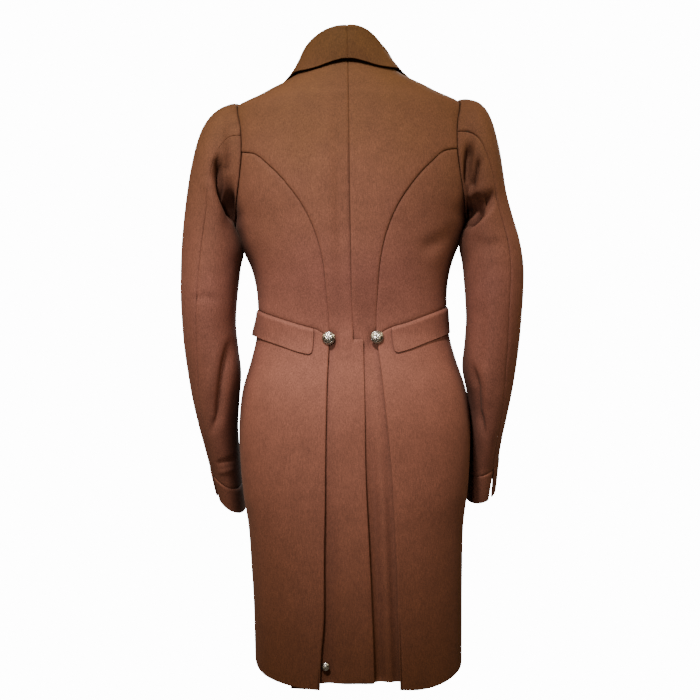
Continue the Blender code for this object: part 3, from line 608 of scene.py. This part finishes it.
def addFront(side):
    free = cloth["edgeLip"]
    waistFront = run(waistPoints(np.array([waistTo, radians(frontPanel["waistMiddle"]), frontEdgeTurn])))
    waistSkirt = run(waistPoints(np.linspace(waistFrom, waistTo, frontPanel["waistPoints"])))
    waistSkirt[0, :2], waistSkirt[-1, :2] = sideSeam[-1, :2], waistFront[0, :2]
    roll = run(rollLine(np.linspace(0, 1, frontPanel["rollPoints"])), lip=free)
    outline = joined(
        sideSeam[::-1], armholePoints(sideArm, 360), shoulderSeam[::-1], neckPoints(shoulderTurn, gorgeTurn),
        roll, run([(frontEdgeTurn, breakZ), waistFront[-1, :2]], lip=free),
        waistFront[::-1], waistSkirt[::-1])
    turn, z, lip, faces = cutPanel(outline)
    points = raised(turn, z, lapOver(turn, side) - lip)
    piece = addCloth("forepart", points, faces, side, creases=frontPanel["creases"])
    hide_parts(node("front", side))


skirtPanel = {
    "hemShare": [0, 0.22, 0.4, 0.5, 0.67, 0.82, 0.92, 0.97, 1],
    "hemLeft": [-1027, -1024.5, -1019.5, -1016, -1008, -997, -985, -973, -955],
    "hemRight": [-1029.5, -1031.5, -1028.5, -1024.5, -1015.5, -1006, -993.5, -980.5, -961],
    "down": ([0, 0.0016, 0.0042, 0.008], (0.014, 0.99, 132), [0.994, 0.9975, 1]),     # the mesh's rows
    "across": ((0, 0.9, 58), (0.9, 0.985, 8), [0.988, 0.992, 0.996, 1]),     # and columns, as shares
    "tuckTo": 1.5, "tuckColumns": 11, "foldColumns": 9,
    "length": 590, "stillFor": 12,
    "sheet": {"flat": (0.36, 0.63), "area": 0.19},
}
hemZ = {side: smoothCurve(skirtPanel["hemShare"], skirtPanel["hem" + word(side)]) for side in (1, -1)}


def addSkirt(side):  # from the pleat's hidden inner edge round its fold to the front edge
    look = skirtPanel
    tuck, fold = backPanel["tuck"] * mm, layer / 2
    down, shares = spread(*look["down"]), spread(*look["across"])
    top = waistPoints(waistFrom + (waistTo - waistFrom) * shares)[:, 1]
    top[0] = sideSeam[-1, 1]
    heights = top + (hemZ[side](shares) * mm - top) * down[:, None]
    foldZ = heights[:, :1]
    flat = 0 * foldZ
    foldTurn = turnAt(pleatX[side](foldZ / mm) * mm, foldZ)
    radius = np.linalg.norm(bodySurface(foldTurn, foldZ)[..., :2], axis=-1)
    columns = [raised(foldTurn + (back + fold) / radius, foldZ, flat - layer)
               for back in np.linspace(tuck, look["tuckTo"] * mm, look["tuckColumns"])]
    for bend in np.radians(np.linspace(-90, 90, look["foldColumns"])):
        shift = fold * (1 - cos(bend)) + cloth["wall"] * mm / 2
        columns.append(raised(foldTurn + shift / radius, foldZ, flat + fold * (sin(bend) - 1)))
    for share, z in zip(shares[1:], heights.T[1:]):
        z = z[:, None]
        end = np.radians(skirtEdge(z / mm))
        columns.append(raised(foldTurn + (end - foldTurn) * share, z))
    grid = np.concatenate(columns, axis=1)
    drop = down[:, None] * look["length"]
    lip, hold = cloth["seamLip"] * lipShape(drop), ease(drop, 0, look["stillFor"])
    piece = addGrid("skirt", grid, side, -lip, hold, flip=True)
    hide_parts(node("skirt", side))


flapPanel = {
    "fromTurn": 37, "toTurn": 99, "width": 160, "deep": 43, "corner": 9, "wall": 2.0,
    "below": 0.6, "sunk": 1.2, "lift": 2.3, "liftOver": (-1.5, 4.5),     # out of the waist seam
    "gape": 8, "gapeAcross": (0.62, 1), "gapeDown": (0.1, 1),     # the left one stands off at its outer end
    "across": ([0, 0.006, 0.014], (0.025, 0.975, 56), [0.986, 0.994, 1]),
    "down": ([0, 0.03, 0.07, 0.11], (0.16, 0.94, 14), [0.97, 0.988, 1]),
    "sheet": {"flat": (0.175, 0.048), "area": 0.0076},
}


def addFlap(side):
    look = flapPanel
    shares, down = spread(*look["across"]), spread(*look["down"])
    turn = np.radians(look["fromTurn"] + (look["toTurn"] - look["fromTurn"]) * shares)
    fromEnd = np.minimum(shares, 1 - shares) * look["width"]
    arc = np.clip(1 - fromEnd / look["corner"], 0, 1)
    deep = look["deep"] - look["corner"] * (1 - np.sqrt(np.clip(1 - arc ** 2, 0, 1)))
    drop = deep * down[:, None]
    z = waistPoints(turn)[:, 1] - (look["below"] + drop) * mm
    gape = look["gape"] * ease(shares, *look["gapeAcross"]) * ease(down, *look["gapeDown"])[:, None]
    if side < 0:
        gape = 0
    lift = (look["lift"] + look["sunk"]) * ease(drop, *look["liftOver"]) - look["sunk"] + gape
    grid = raised(np.broadcast_to(turn, z.shape), z, lift * mm)
    piece = addGrid("pocketFlap", grid, side, flip=True, wall=look["wall"])
    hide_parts(node("flap", side))


lapelPanel = {
    "edgeAt": [0, 0.09, 0.25, 0.5, 0.75, 0.92, 1],
    "edgeX": [103, 127, 124, 103, 64, 16, -8],
    "edgeZ": [-83, -105, -136, -181, -222, -244, -251],
    "end": 0.9, "clear": 4, "wall": 2.2, "swell": 1.6,
    "gorge": 2, "gorgeTo": 0.1,
    "bendColumns": 7, "across": ((0, 0.96, 26), [0.975, 0.99, 1]),
    "sheet": {"flat": (0.21, 0.11), "area": 0.0144},
}


def addLapel(side):
    look = lapelPanel
    down = spread([0, 0.004, 0.01], (0.02, look["end"] - 0.01, 50), [look["end"]])
    edgeX, edgeZ = (smoothCurve(look["edgeAt"], look[name])(down) * mm for name in ("edgeX", "edgeZ"))
    rollTurn, rollZ = rollLine(down).T
    rollX = bodySurface(rollTurn, rollZ)[:, 0]
    if side < 0:
        rollX = np.maximum(rollX, look["clear"] * mm - rollX)
    gorge = look["gorge"] * mm * (1 - ease(down, 0, look["gorgeTo"]))

    def lyingAt(x, z, lift):
        turn = turnAt(x, z, front=True) % (2 * pi)
        return raised(turn, z, lapOver(turn, side) + lift)

    columns = []
    for bend in np.radians(np.linspace(-90, 90, look["bendColumns"])[:-1]):
        columns.append(lyingAt(rollX - layer / 2 * cos(bend), rollZ - gorge, layer / 2 * (1 + sin(bend))))
    for share in spread(*look["across"]):
        swell = look["swell"] * mm * sin(pi * share)
        columns.append(lyingAt(rollX + (edgeX - rollX) * share,
                               rollZ - gorge * (1 - share) + (edgeZ - rollZ) * share, layer + swell))
    grid = np.stack(columns, axis=1)
    piece = addGrid("lapel", grid, side, wall=look["wall"])
    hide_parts(node("lapel", side))


collarPanel = {
    "turn": [0, 15, 30, 45, 60, 75, 90, 105, 120, 136],
    "foldLeft": [0, 19, 38, 54, 66, 74, 79, 81, 80, 74.5],
    "foldRight": [0, 17, 32.5, 45, 55, 64, 71, 74, 76, 74],
    "foldY": [62, 61, 54.5, 44, 31, 15, -3, -23, -48, -79],
    "foldZ": [45.5, 44, 38.5, 29.5, 19, 7.5, -4, -15, -31, -55],
    "edgeTurn": [0, 9, 24, 38, 51, 66, 83, 99, 112, 123],
    "edgeLeft": [-14, -14.7, -19, -24.5, -28.5, -29.5, -29, -38.5, -57, -82],
    "edgeRight": [-14, -14.7, -19, -24, -26.5, -26.5, -25, -34.5, -55.5, -82],
    "over": 4.4, "more": 1.4, "moreAt": (40, 75), "offNape": 2.4, "napeFade": (-42, -8),
    "seamRise": 2.4, "foldRound": 3.2, "wall": 2.2, "swell": 2.2,
    "turns": ([0, 0.4, 1.2, 2.6], (4, 135, 90), [135.5, 136]),     # the mesh's rows, in degrees
    "fall": ((0, 0.96, 24), [0.98, 1]),     # and its columns down the fall, as shares
    "perDegree": 1.1,     # mm from the centre back, for its seam's lip
    "sheet": {"flat": (0.27, 0.11), "area": 0.019},
}


def addCollar(side):
    look = collarPanel
    turns = spread(*look["turns"])
    names = ["fold" + word(side), "foldY", "foldZ", "edgeTurn", "edge" + word(side)]
    foldX, foldY, foldZ, edgeTurn, edgeZ = (smoothCurve(look["turn"], look[name])(turns) for name in names)
    seam = raised(np.radians(turns), neckZ(turns) * mm) + (0, 0, look["seamRise"] * mm)
    fold = np.stack([foldX, foldY, foldZ], axis=1) * mm
    over = look["over"] + look["more"] * ease(turns, *look["moreAt"])
    over = (over + look["offNape"] * ease(-turns, *look["napeFade"])) * mm
    edge = raised(np.radians(edgeTurn), edgeZ * mm, over)
    away = unit((edge - seam) * (1, 1, 0))
    foldRound = look["foldRound"] * mm
    drop = np.minimum(foldRound, np.maximum(0, fold[:, 2] - seam[:, 2]) * 0.5)[:, None]
    up = np.array([0, 0, 1])
    standTop = fold - away * foldRound - up * drop
    fallTop = fold + away * foldRound - up * foldRound
    columns = [seam + (standTop - seam) * share for share in np.linspace(0, 1, 9)[:-1]]
    for below, start in ((drop, 0), (foldRound, 90)):     # round the fold, up and down again
        for bend in np.radians(np.linspace(start, start + 90, 5)[:-1]):
            columns.append(fold - up * below * (1 - sin(bend)) - away * foldRound * cos(bend))
    for share in spread(*look["fall"]):
        swell = away * look["swell"] * mm * sin(pi * share)
        columns.append(lyingOver(fallTop + (edge - fallTop) * share + swell, over))
    grid = np.stack(columns, axis=1)
    centre = np.repeat(lipShape(turns * look["perDegree"]), grid.shape[1])
    points, faces = grid.reshape(-1, 3), gridFaces(*grid.shape[:2])
    points = points - meshNormals(points, faces) * centre[:, None] * cloth["seamLip"] * mm
    points[:, 0] = np.maximum(points[:, 0], cloth["seamGap"] / 2 * mm)
    piece = addCloth("collar", points, faces, side, look["wall"], hold=1 - centre)
    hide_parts(node("collar", side))


# The sleeve's sections: outermost point (left and right arm), innermost point, the place and
# half depth fore and aft, tilt, how far the outer point is raised on the left arm and lowered
# on the right one, and how far each arm's whole section is raised
sleeveForm = {
    "outLeft": [199, 211.5, 226, 239.5, 250, 258, 264.5, 270, 275, 279.5, 282, 282.5, 281, 278.5, 274, 268.5,
                260.4, 252, 244.6],
    "outRight": [201, 213.5, 226, 236, 243, 249, 253.5, 258.5, 267.5, 278, 283.5, 282.5, 279, 275, 269.5,
                 263, 255.5, 248.2, 243],
    "outZ": [-72.8, -77.3, -88.5, -107.5, -133, -162, -193, -228, -265, -305, -347, -390, -432, -472, -514,
             -557, -602, -644, -684],
    "inLeft": [192.3, 192.2, 191.8, 190.4, 188, 185, 181.8, 179.5, 179.5, 184, 187.5, 191.5, 194, 191,
               187, 190.5, 194.8, 194.6, 192.8],
    "inRight": [192.3, 192.2, 191.8, 190.6, 188.4, 185.4, 182.2, 179.8, 180.4, 183.6, 185.5, 187.5, 188.5,
                185.5, 181.5, 189, 192.3, 190.8, 188.7],
    "inZ": [-274, -276.5, -279.5, -283, -287, -292, -299, -309, -322, -341, -368, -402, -438, -476, -517,
            -560, -608, -660, -712],
    "upLeft": [0] * 16 + [2, 5, 8],
    "upRight": [0] * 15 + [2, 8, 15, 24],
    "middle": [0, 1, 2, 3, 4, 5, 6, 8, 10, 12, 14, 15, 12, 7, -1, -12, -26, -42, -58],
    "halfDepth": [66, 69, 70, 70, 69.5, 68.5, 67.5, 66, 64.5, 63, 61.5, 60, 59, 58, 57, 55.5, 53.5,
                  51, 48.5],
    "tilt": [0] * 11 + [-0.02, -0.06, -0.11, -0.17, -0.23, -0.3, -0.36, -0.4],
    "skew": [-0.8, -1.5, -1.5, -0.5] + [0] * 13 + [2, 6],
    "closedSeam": {1: 140, -1: 0},     # how far below the head the two seams are pressed flat
}
sleeveParts = {    # degrees round the arm from one seam to the other, and the columns between them
    "Top": {"from": foreArm - 360, "to": hindArm, "columns": 78,
            "sheet": {"flat": (0.28, 0.68), "area": 0.115}},
    "Under": {"from": hindArm, "to": foreArm, "columns": 60,
              "sheet": {"flat": (0.20, 0.62), "area": 0.075}},
}
sleeveHead = {
    "lift": 1.2, "liftMore": 1.6, "moreAt": (105, 150),     # off the body, and more under the arm
    "gathers": (19, 31), "secondShare": 0.5, "swayRate": 5, "sway": 0.8,     # soft waves round the arm
    "pucker": 0.75, "puckerReach": 17, "puckerFrom": (0, 3), "puckerOver": (-95, -40),
    "stillFor": 10, "stillAtCuff": 14,     # no crease moves the sleeve's two ends
}
sleeveFolds = {    # the largest folds: arm, section, degrees round the arm, their half lengths, depth
    "side": [-1, -1, 1, 1, -1, -1],
    "section": [5.5, 5.5, 5.5, 10.5, 8.5, 14.5],
    "turn": [122, 50, 124, 40, 60, 120],
    "halfSections": [3.5, 3.5, 3.5, 0.9, 0.9, 3.0],
    "halfTurn": [24, 18, 24, 40, 45, 18],
    "depth": [-6.0, 1.8, -5.0, -2.5, -2.5, -4.0],
}
sleeveCreases = [
    crease(1, [(211, -160), (218, -178), (218, -196), (210, -224), (200, -248), (190, -272)],
           (4.5, 17), -22, (0.3, 0.12)),
    crease(1, [(193, -176), (191, -215), (188, -245)], 4, 4),
    crease(1, [(236, -192), (226, -230), (204, -282)], 8, 2.5),
    crease(1, [(266, -395), (240, -393), (213, -400)], 7, -1.5),
    crease(1, [(200, -455), (213, -513), (222, -568), (225, -590), (239, -621)], (5, 9), -8),
    crease(1, [(216, -455), (228, -513), (238, -570)], 8, 2),
    crease(1, [(232, -668), (215, -664), (197, -659)], 4, -2.5),
    crease(1, [(230, -684), (200, -678)], 4, 1.5),
    crease(-1, [(197, -146), (191, -185), (186, -224)], (5, 7), -14, (0.35, 0.2)),
    crease(-1, [(212, -174), (203, -204), (196, -228)], 4.5, -10, (0.3, 0.2)),
    crease(-1, [(229, -222), (230, -238), (225, -252), (213, -266), (196, -279), (183, -284)],
           (5.5, 20), -24, (0.5, 0.1)),
    crease(-1, [(178, -233), (198, -236), (219, -219)], 5, 3.5, (0.1, 0.4)),
    crease(-1, [(186, -304), (220, -318), (260, -309)], (9, 16), -2),
    crease(-1, [(193, -500), (203, -549), (204, -586), (213, -622), (219, -636)], (5, 9), -8),
    crease(-1, [(208, -500), (217, -545), (221, -590)], 7, 2),
]
hindarmSeam = {    # degrees round the arm at these sections
    "section": [0, 3, 6, 8, 10, 12, 13, 15, 18],
    "turnLeft": [67, 74, 78, 75.5, 73, 67, 63, 52, 47],
    "turnRight": [67, 70, 62, 57, 60, 63, 60, 57, 59],
}
hindarm = {side: smoothCurve(hindarmSeam["section"], hindarmSeam["turn" + word(side)]) for side in (1, -1)}


def foldAt(side, number, turn):
    total = 0
    for arm, section, middle, halfSections, halfTurn, depth in zip(*sleeveFolds.values()):
        if arm == side:
            beside = (turn - middle + 180) % 360 - 180
            near = ((number - section) / halfSections) ** 2 + (beside / halfTurn) ** 2
            total = total + depth * np.exp(-2 * near)
    return total


def armRing(form, row, turns, side, folded=False):
    up = form["up" + word(side)][row]
    outer = np.array([form["out" + word(side)][row], 0, form["outZ"][row] + form["skew"][row] * side + up])
    inner = np.array([form["in" + word(side)][row], 0, form["inZ"][row] + up])
    centre = (outer + inner) / 2 + (0, form["middle"][row], 0)
    around = np.radians(turns)[:, None]
    deep = np.array([0, 1, form["tilt"][row]]) * form["halfDepth"][row]
    ring = centre + (outer - inner) / 2 * np.cos(around) + deep * np.sin(around)
    if folded:
        ring = ring + unit(ring - centre) * foldAt(side, row + 1, turns)[:, None]
    return ring * mm


def puckerAt(turns, fromTop, toHead):  # the soft gathers at the top of the sleeve head, in mm
    head, around = sleeveHead, np.radians(turns)
    first, second = head["gathers"]
    beat = np.sin(around * first + head["sway"] * np.sin(around * head["swayRate"]))
    beat = beat + head["secondShare"] * np.sin(around * second)
    near = np.exp(-(toHead / head["puckerReach"]) ** 2) * ease(toHead, *head["puckerFrom"])
    return beat * head["pucker"] * near * ease(-fromTop, *head["puckerOver"])


def addSleeve(side):
    head = sleeveHead
    for part, look in sleeveParts.items():
        shares = spread([0, 0.005, 0.013], (0.025, 0.975, look["columns"]), [0.987, 0.995, 1])
        turns = look["from"] + (look["to"] - look["from"]) * shares
        fromTop = np.abs((turns + 180) % 360 - 180)
        turnRound, z = armhole(turns)
        lift = head["lift"] + head["liftMore"] * ease(fromTop, *head["moreAt"])
        rings = [raised(turnRound, z, lift * mm)]
        share = (turns - turns[0]) / (turns[-1] - turns[0])
        share = share if part == "Top" else 1 - share
        for row in range(len(sleeveForm["outZ"])):
            shift = float(hindarm[side](row)) - hindArm
            rings.append(armRing(sleeveForm, row, turns + shift * share, side, folded=True))
        rings = np.array(rings)
        steps = np.linalg.norm(np.diff(rings, axis=0), axis=2)
        walked = np.concatenate([[0], np.cumsum(np.mean(steps, axis=1))])
        end = walked[-1]
        stops = spread([0, 0.001, 0.0026], (0.005, end - 0.003, 180), [end - 0.001, end])     # metres
        grid = smoothCurve(walked, rings)(stops)
        toHead, toCuff = stops[:, None] / mm, (end - stops)[:, None] / mm
        steps = np.linalg.norm(np.diff(grid, axis=1), axis=2)
        arc = np.concatenate([0 * toHead, np.cumsum(steps, axis=1)], axis=1)
        toSeam = np.minimum(arc, arc[:, -1:] - arc) / mm
        closed = 1 - ease(toHead, 0, sleeveForm["closedSeam"][side] + 1)
        toSeam = toSeam + cloth["lipAt"][-1] * closed
        lip = cloth["seamLip"] * lipShape(np.minimum(np.minimum(toHead, toCuff), toSeam))
        pucker = puckerAt(turns, fromTop, toHead) if part == "Top" else 0
        hold = ease(toHead, 0, head["stillFor"]) * ease(toCuff, 0, head["stillAtCuff"])
        piece = addGrid("sleeve" + part, grid, side, pucker - lip, hold, creases=sleeveCreases)
        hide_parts(node("sleeve_" + part.lower(), side))


cuffForm = {
    "outLeft": [244.6, 241, 237.2], "outRight": [243, 240.2, 237.2], "outZ": [-684, -707, -730],
    "inLeft": [192.8, 190.9, 189], "inRight": [188.7, 187.6, 185.8], "inZ": [-712, -734, -756],
    "upLeft": [8, 9, 10], "upRight": [24, 24.5, 25],
    "middle": [-58, -66, -74],
    "halfDepth": [48.5, 48.5, 48.5], "tilt": [-0.4, -0.4, -0.4], "skew": [6, 9, 12],
    "slit": [3, 5, 8],     # degrees from the hindarm seam to the cuff's open ends
    "proud": 0.8, "wall": 2.4,
    "columns": 110, "down": ([0, 0.04, 0.1], (0.2, 1.85, 16), [1.93, 1.97, 2]),     # in sections
    "perSection": 25,     # mm from one section to the next, for the lip
    "hold": 0.6, "stillFor": 0.3,
    "sheet": {"flat": (0.30, 0.05), "area": 0.0112},
}


def addCuff(side):
    look = cuffForm
    seam = float(hindarm[side](hindarmSeam["section"][-1]))
    rings = []
    for row, gap in enumerate(look["slit"]):
        turns = np.linspace(seam + gap, seam + 360 - gap, look["columns"])
        rings.append(armRing(look, row, turns, side))
    down = spread(*look["down"])
    grid = smoothCurve([0, 1, 2], np.array(rings))(down)
    down = down[:, None]
    lift = look["proud"] - cloth["seamLip"] * lipShape(down * look["perSection"])
    hold = look["hold"] * ease(down, 0, look["stillFor"])
    piece = addGrid("cuff", grid, side, lift, hold, wall=look["wall"])
    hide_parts(node("cuff", side))


buttonForm = {
    "radiusShare": [0, 0.3, 0.58, 0.8, 0.95, 1.0, 0.97, 0.9, 0.3, 0.26, 0.26],
    "heightShare": [0.52, 0.49, 0.40, 0.27, 0.12, 0.06, 0.01, 0, 0, -0.04, -0.14],
    "rimAt": 5,     # the place in these lists where the dome meets the back
    "domeRows": 34, "backRows": 12, "eyeFrom": 0.03, "around": 72,
    "petals": 8, "ropeTurns": 26, "ropeSlant": 9, "relief": 0.055,
    "hip": 21, "front": 19, "pleat": 13, "clear": 0.6,
    "hipAt": (38.8, -464), "hipLift": 1.2, "hipSpin": {1: 0.2, -1: 0.7},
    "pleatZ": -990, "besidePleat": 0.5, "frontZ": [-272, -316, -360, -404], "frontSpin": 0.4,
}


def band(value, rise, fall):  # 1 between a rise and a fall, and 0 outside them
    return ease(value, *rise) * (1 - ease(value, *fall))


def reliefAt(radius, angle):  # a rosette inside a roped rim, from 0 in its hollows to 1
    petals = angle * buttonForm["petals"]
    flower = np.abs(np.cos(petals / 2)) ** 0.7 * band(radius, (0.14, 0.3), (0.56, 0.66))
    inner = (0.5 + 0.5 * np.cos(petals + pi)) * band(radius, (0.3, 0.4), (0.4, 0.5))
    eye = 1 - ease(radius, 0.08, 0.15)
    strands = np.sin(angle * buttonForm["ropeTurns"] + radius * buttonForm["ropeSlant"])
    rope = (0.5 + 0.5 * strands) * band(radius, (0.7, 0.76), (0.88, 0.94))
    edge = 0.75 * ease(radius, 0.93, 0.97)
    return np.clip(eye + flower - 0.5 * inner + rope + edge, 0, 1)


def addButton(name, replaced, diameter, turn, z, lift, side=1, spin=0.0):
    look = buttonForm
    radius = diameter / 2 * mm
    outline = np.column_stack([look["radiusShare"], look["heightShare"]])
    lengths = distanceAlong(outline)
    rimAt, domeRows = look["rimAt"], look["domeRows"]
    toRim = lengths[rimAt]
    stops = spread((look["eyeFrom"], toRim, domeRows), (toRim, lengths[-1], look["backRows"]))
    profile = np.column_stack([np.interp(stops, lengths, values) for values in outline.T])
    dome = smoothCurve(lengths[:rimAt + 1], outline[:rimAt + 1, 1])
    profile[:domeRows, 1] = dome(stops[:domeRows])
    angle = np.linspace(0, 2 * pi, look["around"] + 1)[:-1]
    relief = reliefAt(profile[:, :1], angle + spin) * (np.arange(len(profile)) < domeRows)[:, None]
    height = profile[:, 1:] + look["relief"] * relief
    out = profile[:, :1]
    grid = np.stack([out * np.cos(angle), out * np.sin(angle), height], axis=-1) * radius
    poles = [[0, 0, height[row].mean() * radius] for row in (0, -1)]
    points = np.vstack([grid.reshape(-1, 3), poles])
    rows, around = grid.shape[:2]
    faces = []
    for c in range(around):
        n = (c + 1) % around
        for row in range(0, (rows - 1) * around, around):
            faces.append((row + c, row + around + c, row + around + n, row + n))
        faces.append((rows * around, c, n))
        faces.append((rows * around + 1, (rows - 1) * around + n, (rows - 1) * around + c))
    clear = cloth["wall"] * mm / 2 + look["clear"] * mm
    normal = outward(turn, z) * (side, 1, 1)
    place = raised(turn, z, lift + clear) * (side, 1, 1)
    turned = Matrix.Translation(Vector(place)) @ Vector(normal).to_track_quat("Z", "Y").to_matrix().to_4x4()
    piece = addMesh(name, [turned @ Vector(p) for p in points.tolist()], faces, pewter)
    shade = piece.data.attributes.new("relief", "FLOAT", "POINT")
    heights = np.concatenate([relief.ravel(), [1.0, 0.0]])
    shade.data.foreach_set("value", heights.astype(np.float32))
    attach(piece, "root")
    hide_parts(replaced)


def addButtons():
    look = buttonForm
    x, z = (value * mm for value in look["hipAt"])
    turn = float(turnAt(x, z))
    for side, spin in look["hipSpin"].items():
        addButton("hipButton" + word(side), node("hip_button", side), look["hip"], turn, z,
                  look["hipLift"] * mm, side, spin)
    z = look["pleatZ"] * mm
    x = float(pleatX[1](z / mm)) * mm - (look["pleat"] / 2 + look["besidePleat"]) * mm
    turn = float(turnAt(x, z))
    addButton("pleatButtonLeft", "pleat_button_left", look["pleat"], turn, z, float(tailLift(turn, z, 1)))
    for number, height in enumerate(look["frontZ"], 1):
        addButton(f"frontButton{number}", f"front_button_{number}", look["front"], pi, height * mm,
                  layer, spin=number * look["frontSpin"])


for side in (1, -1):
    addBack(side)
    print("back cut", word(side))
    addFront(side)
    addSkirt(side)
    addFlap(side)
    print("forepart and skirt hung", word(side))
    addLapel(side)
    addCollar(side)
    addSleeve(side)
    addCuff(side)
    print("collar and sleeve set", word(side))
addButtons()
print("buttons sewn on")

studio = {
    "camera": (0.005, 3.0, -0.4835), "lens": 92.87, "rollDegrees": -1.05,
    "floorZ": -1.55, "floorRadius": 2.2, "floorSides": 96, "floorShade": 0.4, "floorRoughness": 0.9,
    "fill": 0.05, "fillColour": (1, 0.84, 0.5, 1), "backdrop": 14, "backdropColour": (1, 1, 1, 1),
}
lamps = {    # place, what it is aimed at, power, colour, cone in degrees or size, and its blur
    "ceiling": {"at": (0.95, 2.8, 3.5), "aim": (0.01, 0, -0.6), "power": 1760, "colour": (1, 0.97, 0.96),
                "cone": 12.2, "blur": 0.3},
    "near": {"at": (0.5, 2.7, -0.1), "aim": (0.0, 0, -0.53), "power": 150, "colour": (1, 0.96, 0.96),
             "cone": 18.5, "blur": 0.15},
    "right": {"at": (-1.6, 0.5, 0.8), "aim": (0, 0, -0.15), "power": 18, "colour": (1, 0.88, 0.58),
              "size": 1.0},
    "left": {"at": (1.6, 0.5, 0.8), "aim": (0, 0, -0.15), "power": 14, "colour": (1, 0.88, 0.58),
             "size": 1.0},
    "front": {"at": (-0.7, -2.6, 0.7), "aim": (0, 0, -0.25), "power": 45, "colour": (1, 1, 1),
              "size": 1.4},
}


def addLamp(name, look):
    light = bpy.data.lights.new(name, "SPOT" if "cone" in look else "AREA")
    light.energy = look["power"]
    light.color = look["colour"]
    if "cone" in look:
        light.spot_size = radians(look["cone"])
        light.spot_blend = 1.0
        light.shadow_soft_size = look["blur"]
    else:
        light.shape = "DISK"
        light.size = look["size"]
    lamp = bpy.data.objects.new(name, light)
    lamp.location = look["at"]
    lamp.rotation_euler = (Vector(look["aim"]) - Vector(look["at"])).to_track_quat("-Z", "Y").to_euler()
    bpy.context.scene.collection.objects.link(lamp)


def addStudio():
    scene = bpy.context.scene
    camera = bpy.data.objects.new("camera", bpy.data.cameras.new("camera"))
    camera.data.lens = studio["lens"]
    camera.data.sensor_width = 36
    camera.location = studio["camera"]
    facing = Euler((radians(90), 0, radians(180))).to_matrix().to_4x4()
    camera.rotation_euler = (facing @ Matrix.Rotation(radians(studio["rollDegrees"]), 4, "Z")).to_euler()
    scene.collection.objects.link(camera)
    scene.camera = camera
    for name, look in lamps.items():
        addLamp(name, look)
    world = bpy.data.worlds.new("studio")
    world.use_nodes = True
    tree = world.node_tree
    inView = addNode(tree, "LightPath").outputs["Is Camera Ray"]
    feed(tree, tree.nodes["Background"], {
        "Color": mixColours(tree, "MIX", inView, studio["fillColour"], studio["backdropColour"]),
        "Strength": levels(tree, inView, (0, 1), (studio["fill"], studio["backdrop"])),
    })
    scene.world = world
    rim = [(studio["floorRadius"] * cos(a), studio["floorRadius"] * sin(a), studio["floorZ"])
           for a in np.linspace(0, 2 * pi, studio["floorSides"] + 1)[:-1]]
    paint, tree = nodeTree("paleFloor")
    shade = (*[studio["floorShade"]] * 3, 1)
    feed(tree, tree.nodes["Principled BSDF"], {"Base Color": shade, "Roughness": studio["floorRoughness"]})
    addMesh("floor", rim, [list(range(len(rim)))], paint)


addStudio()
print("studio lit")
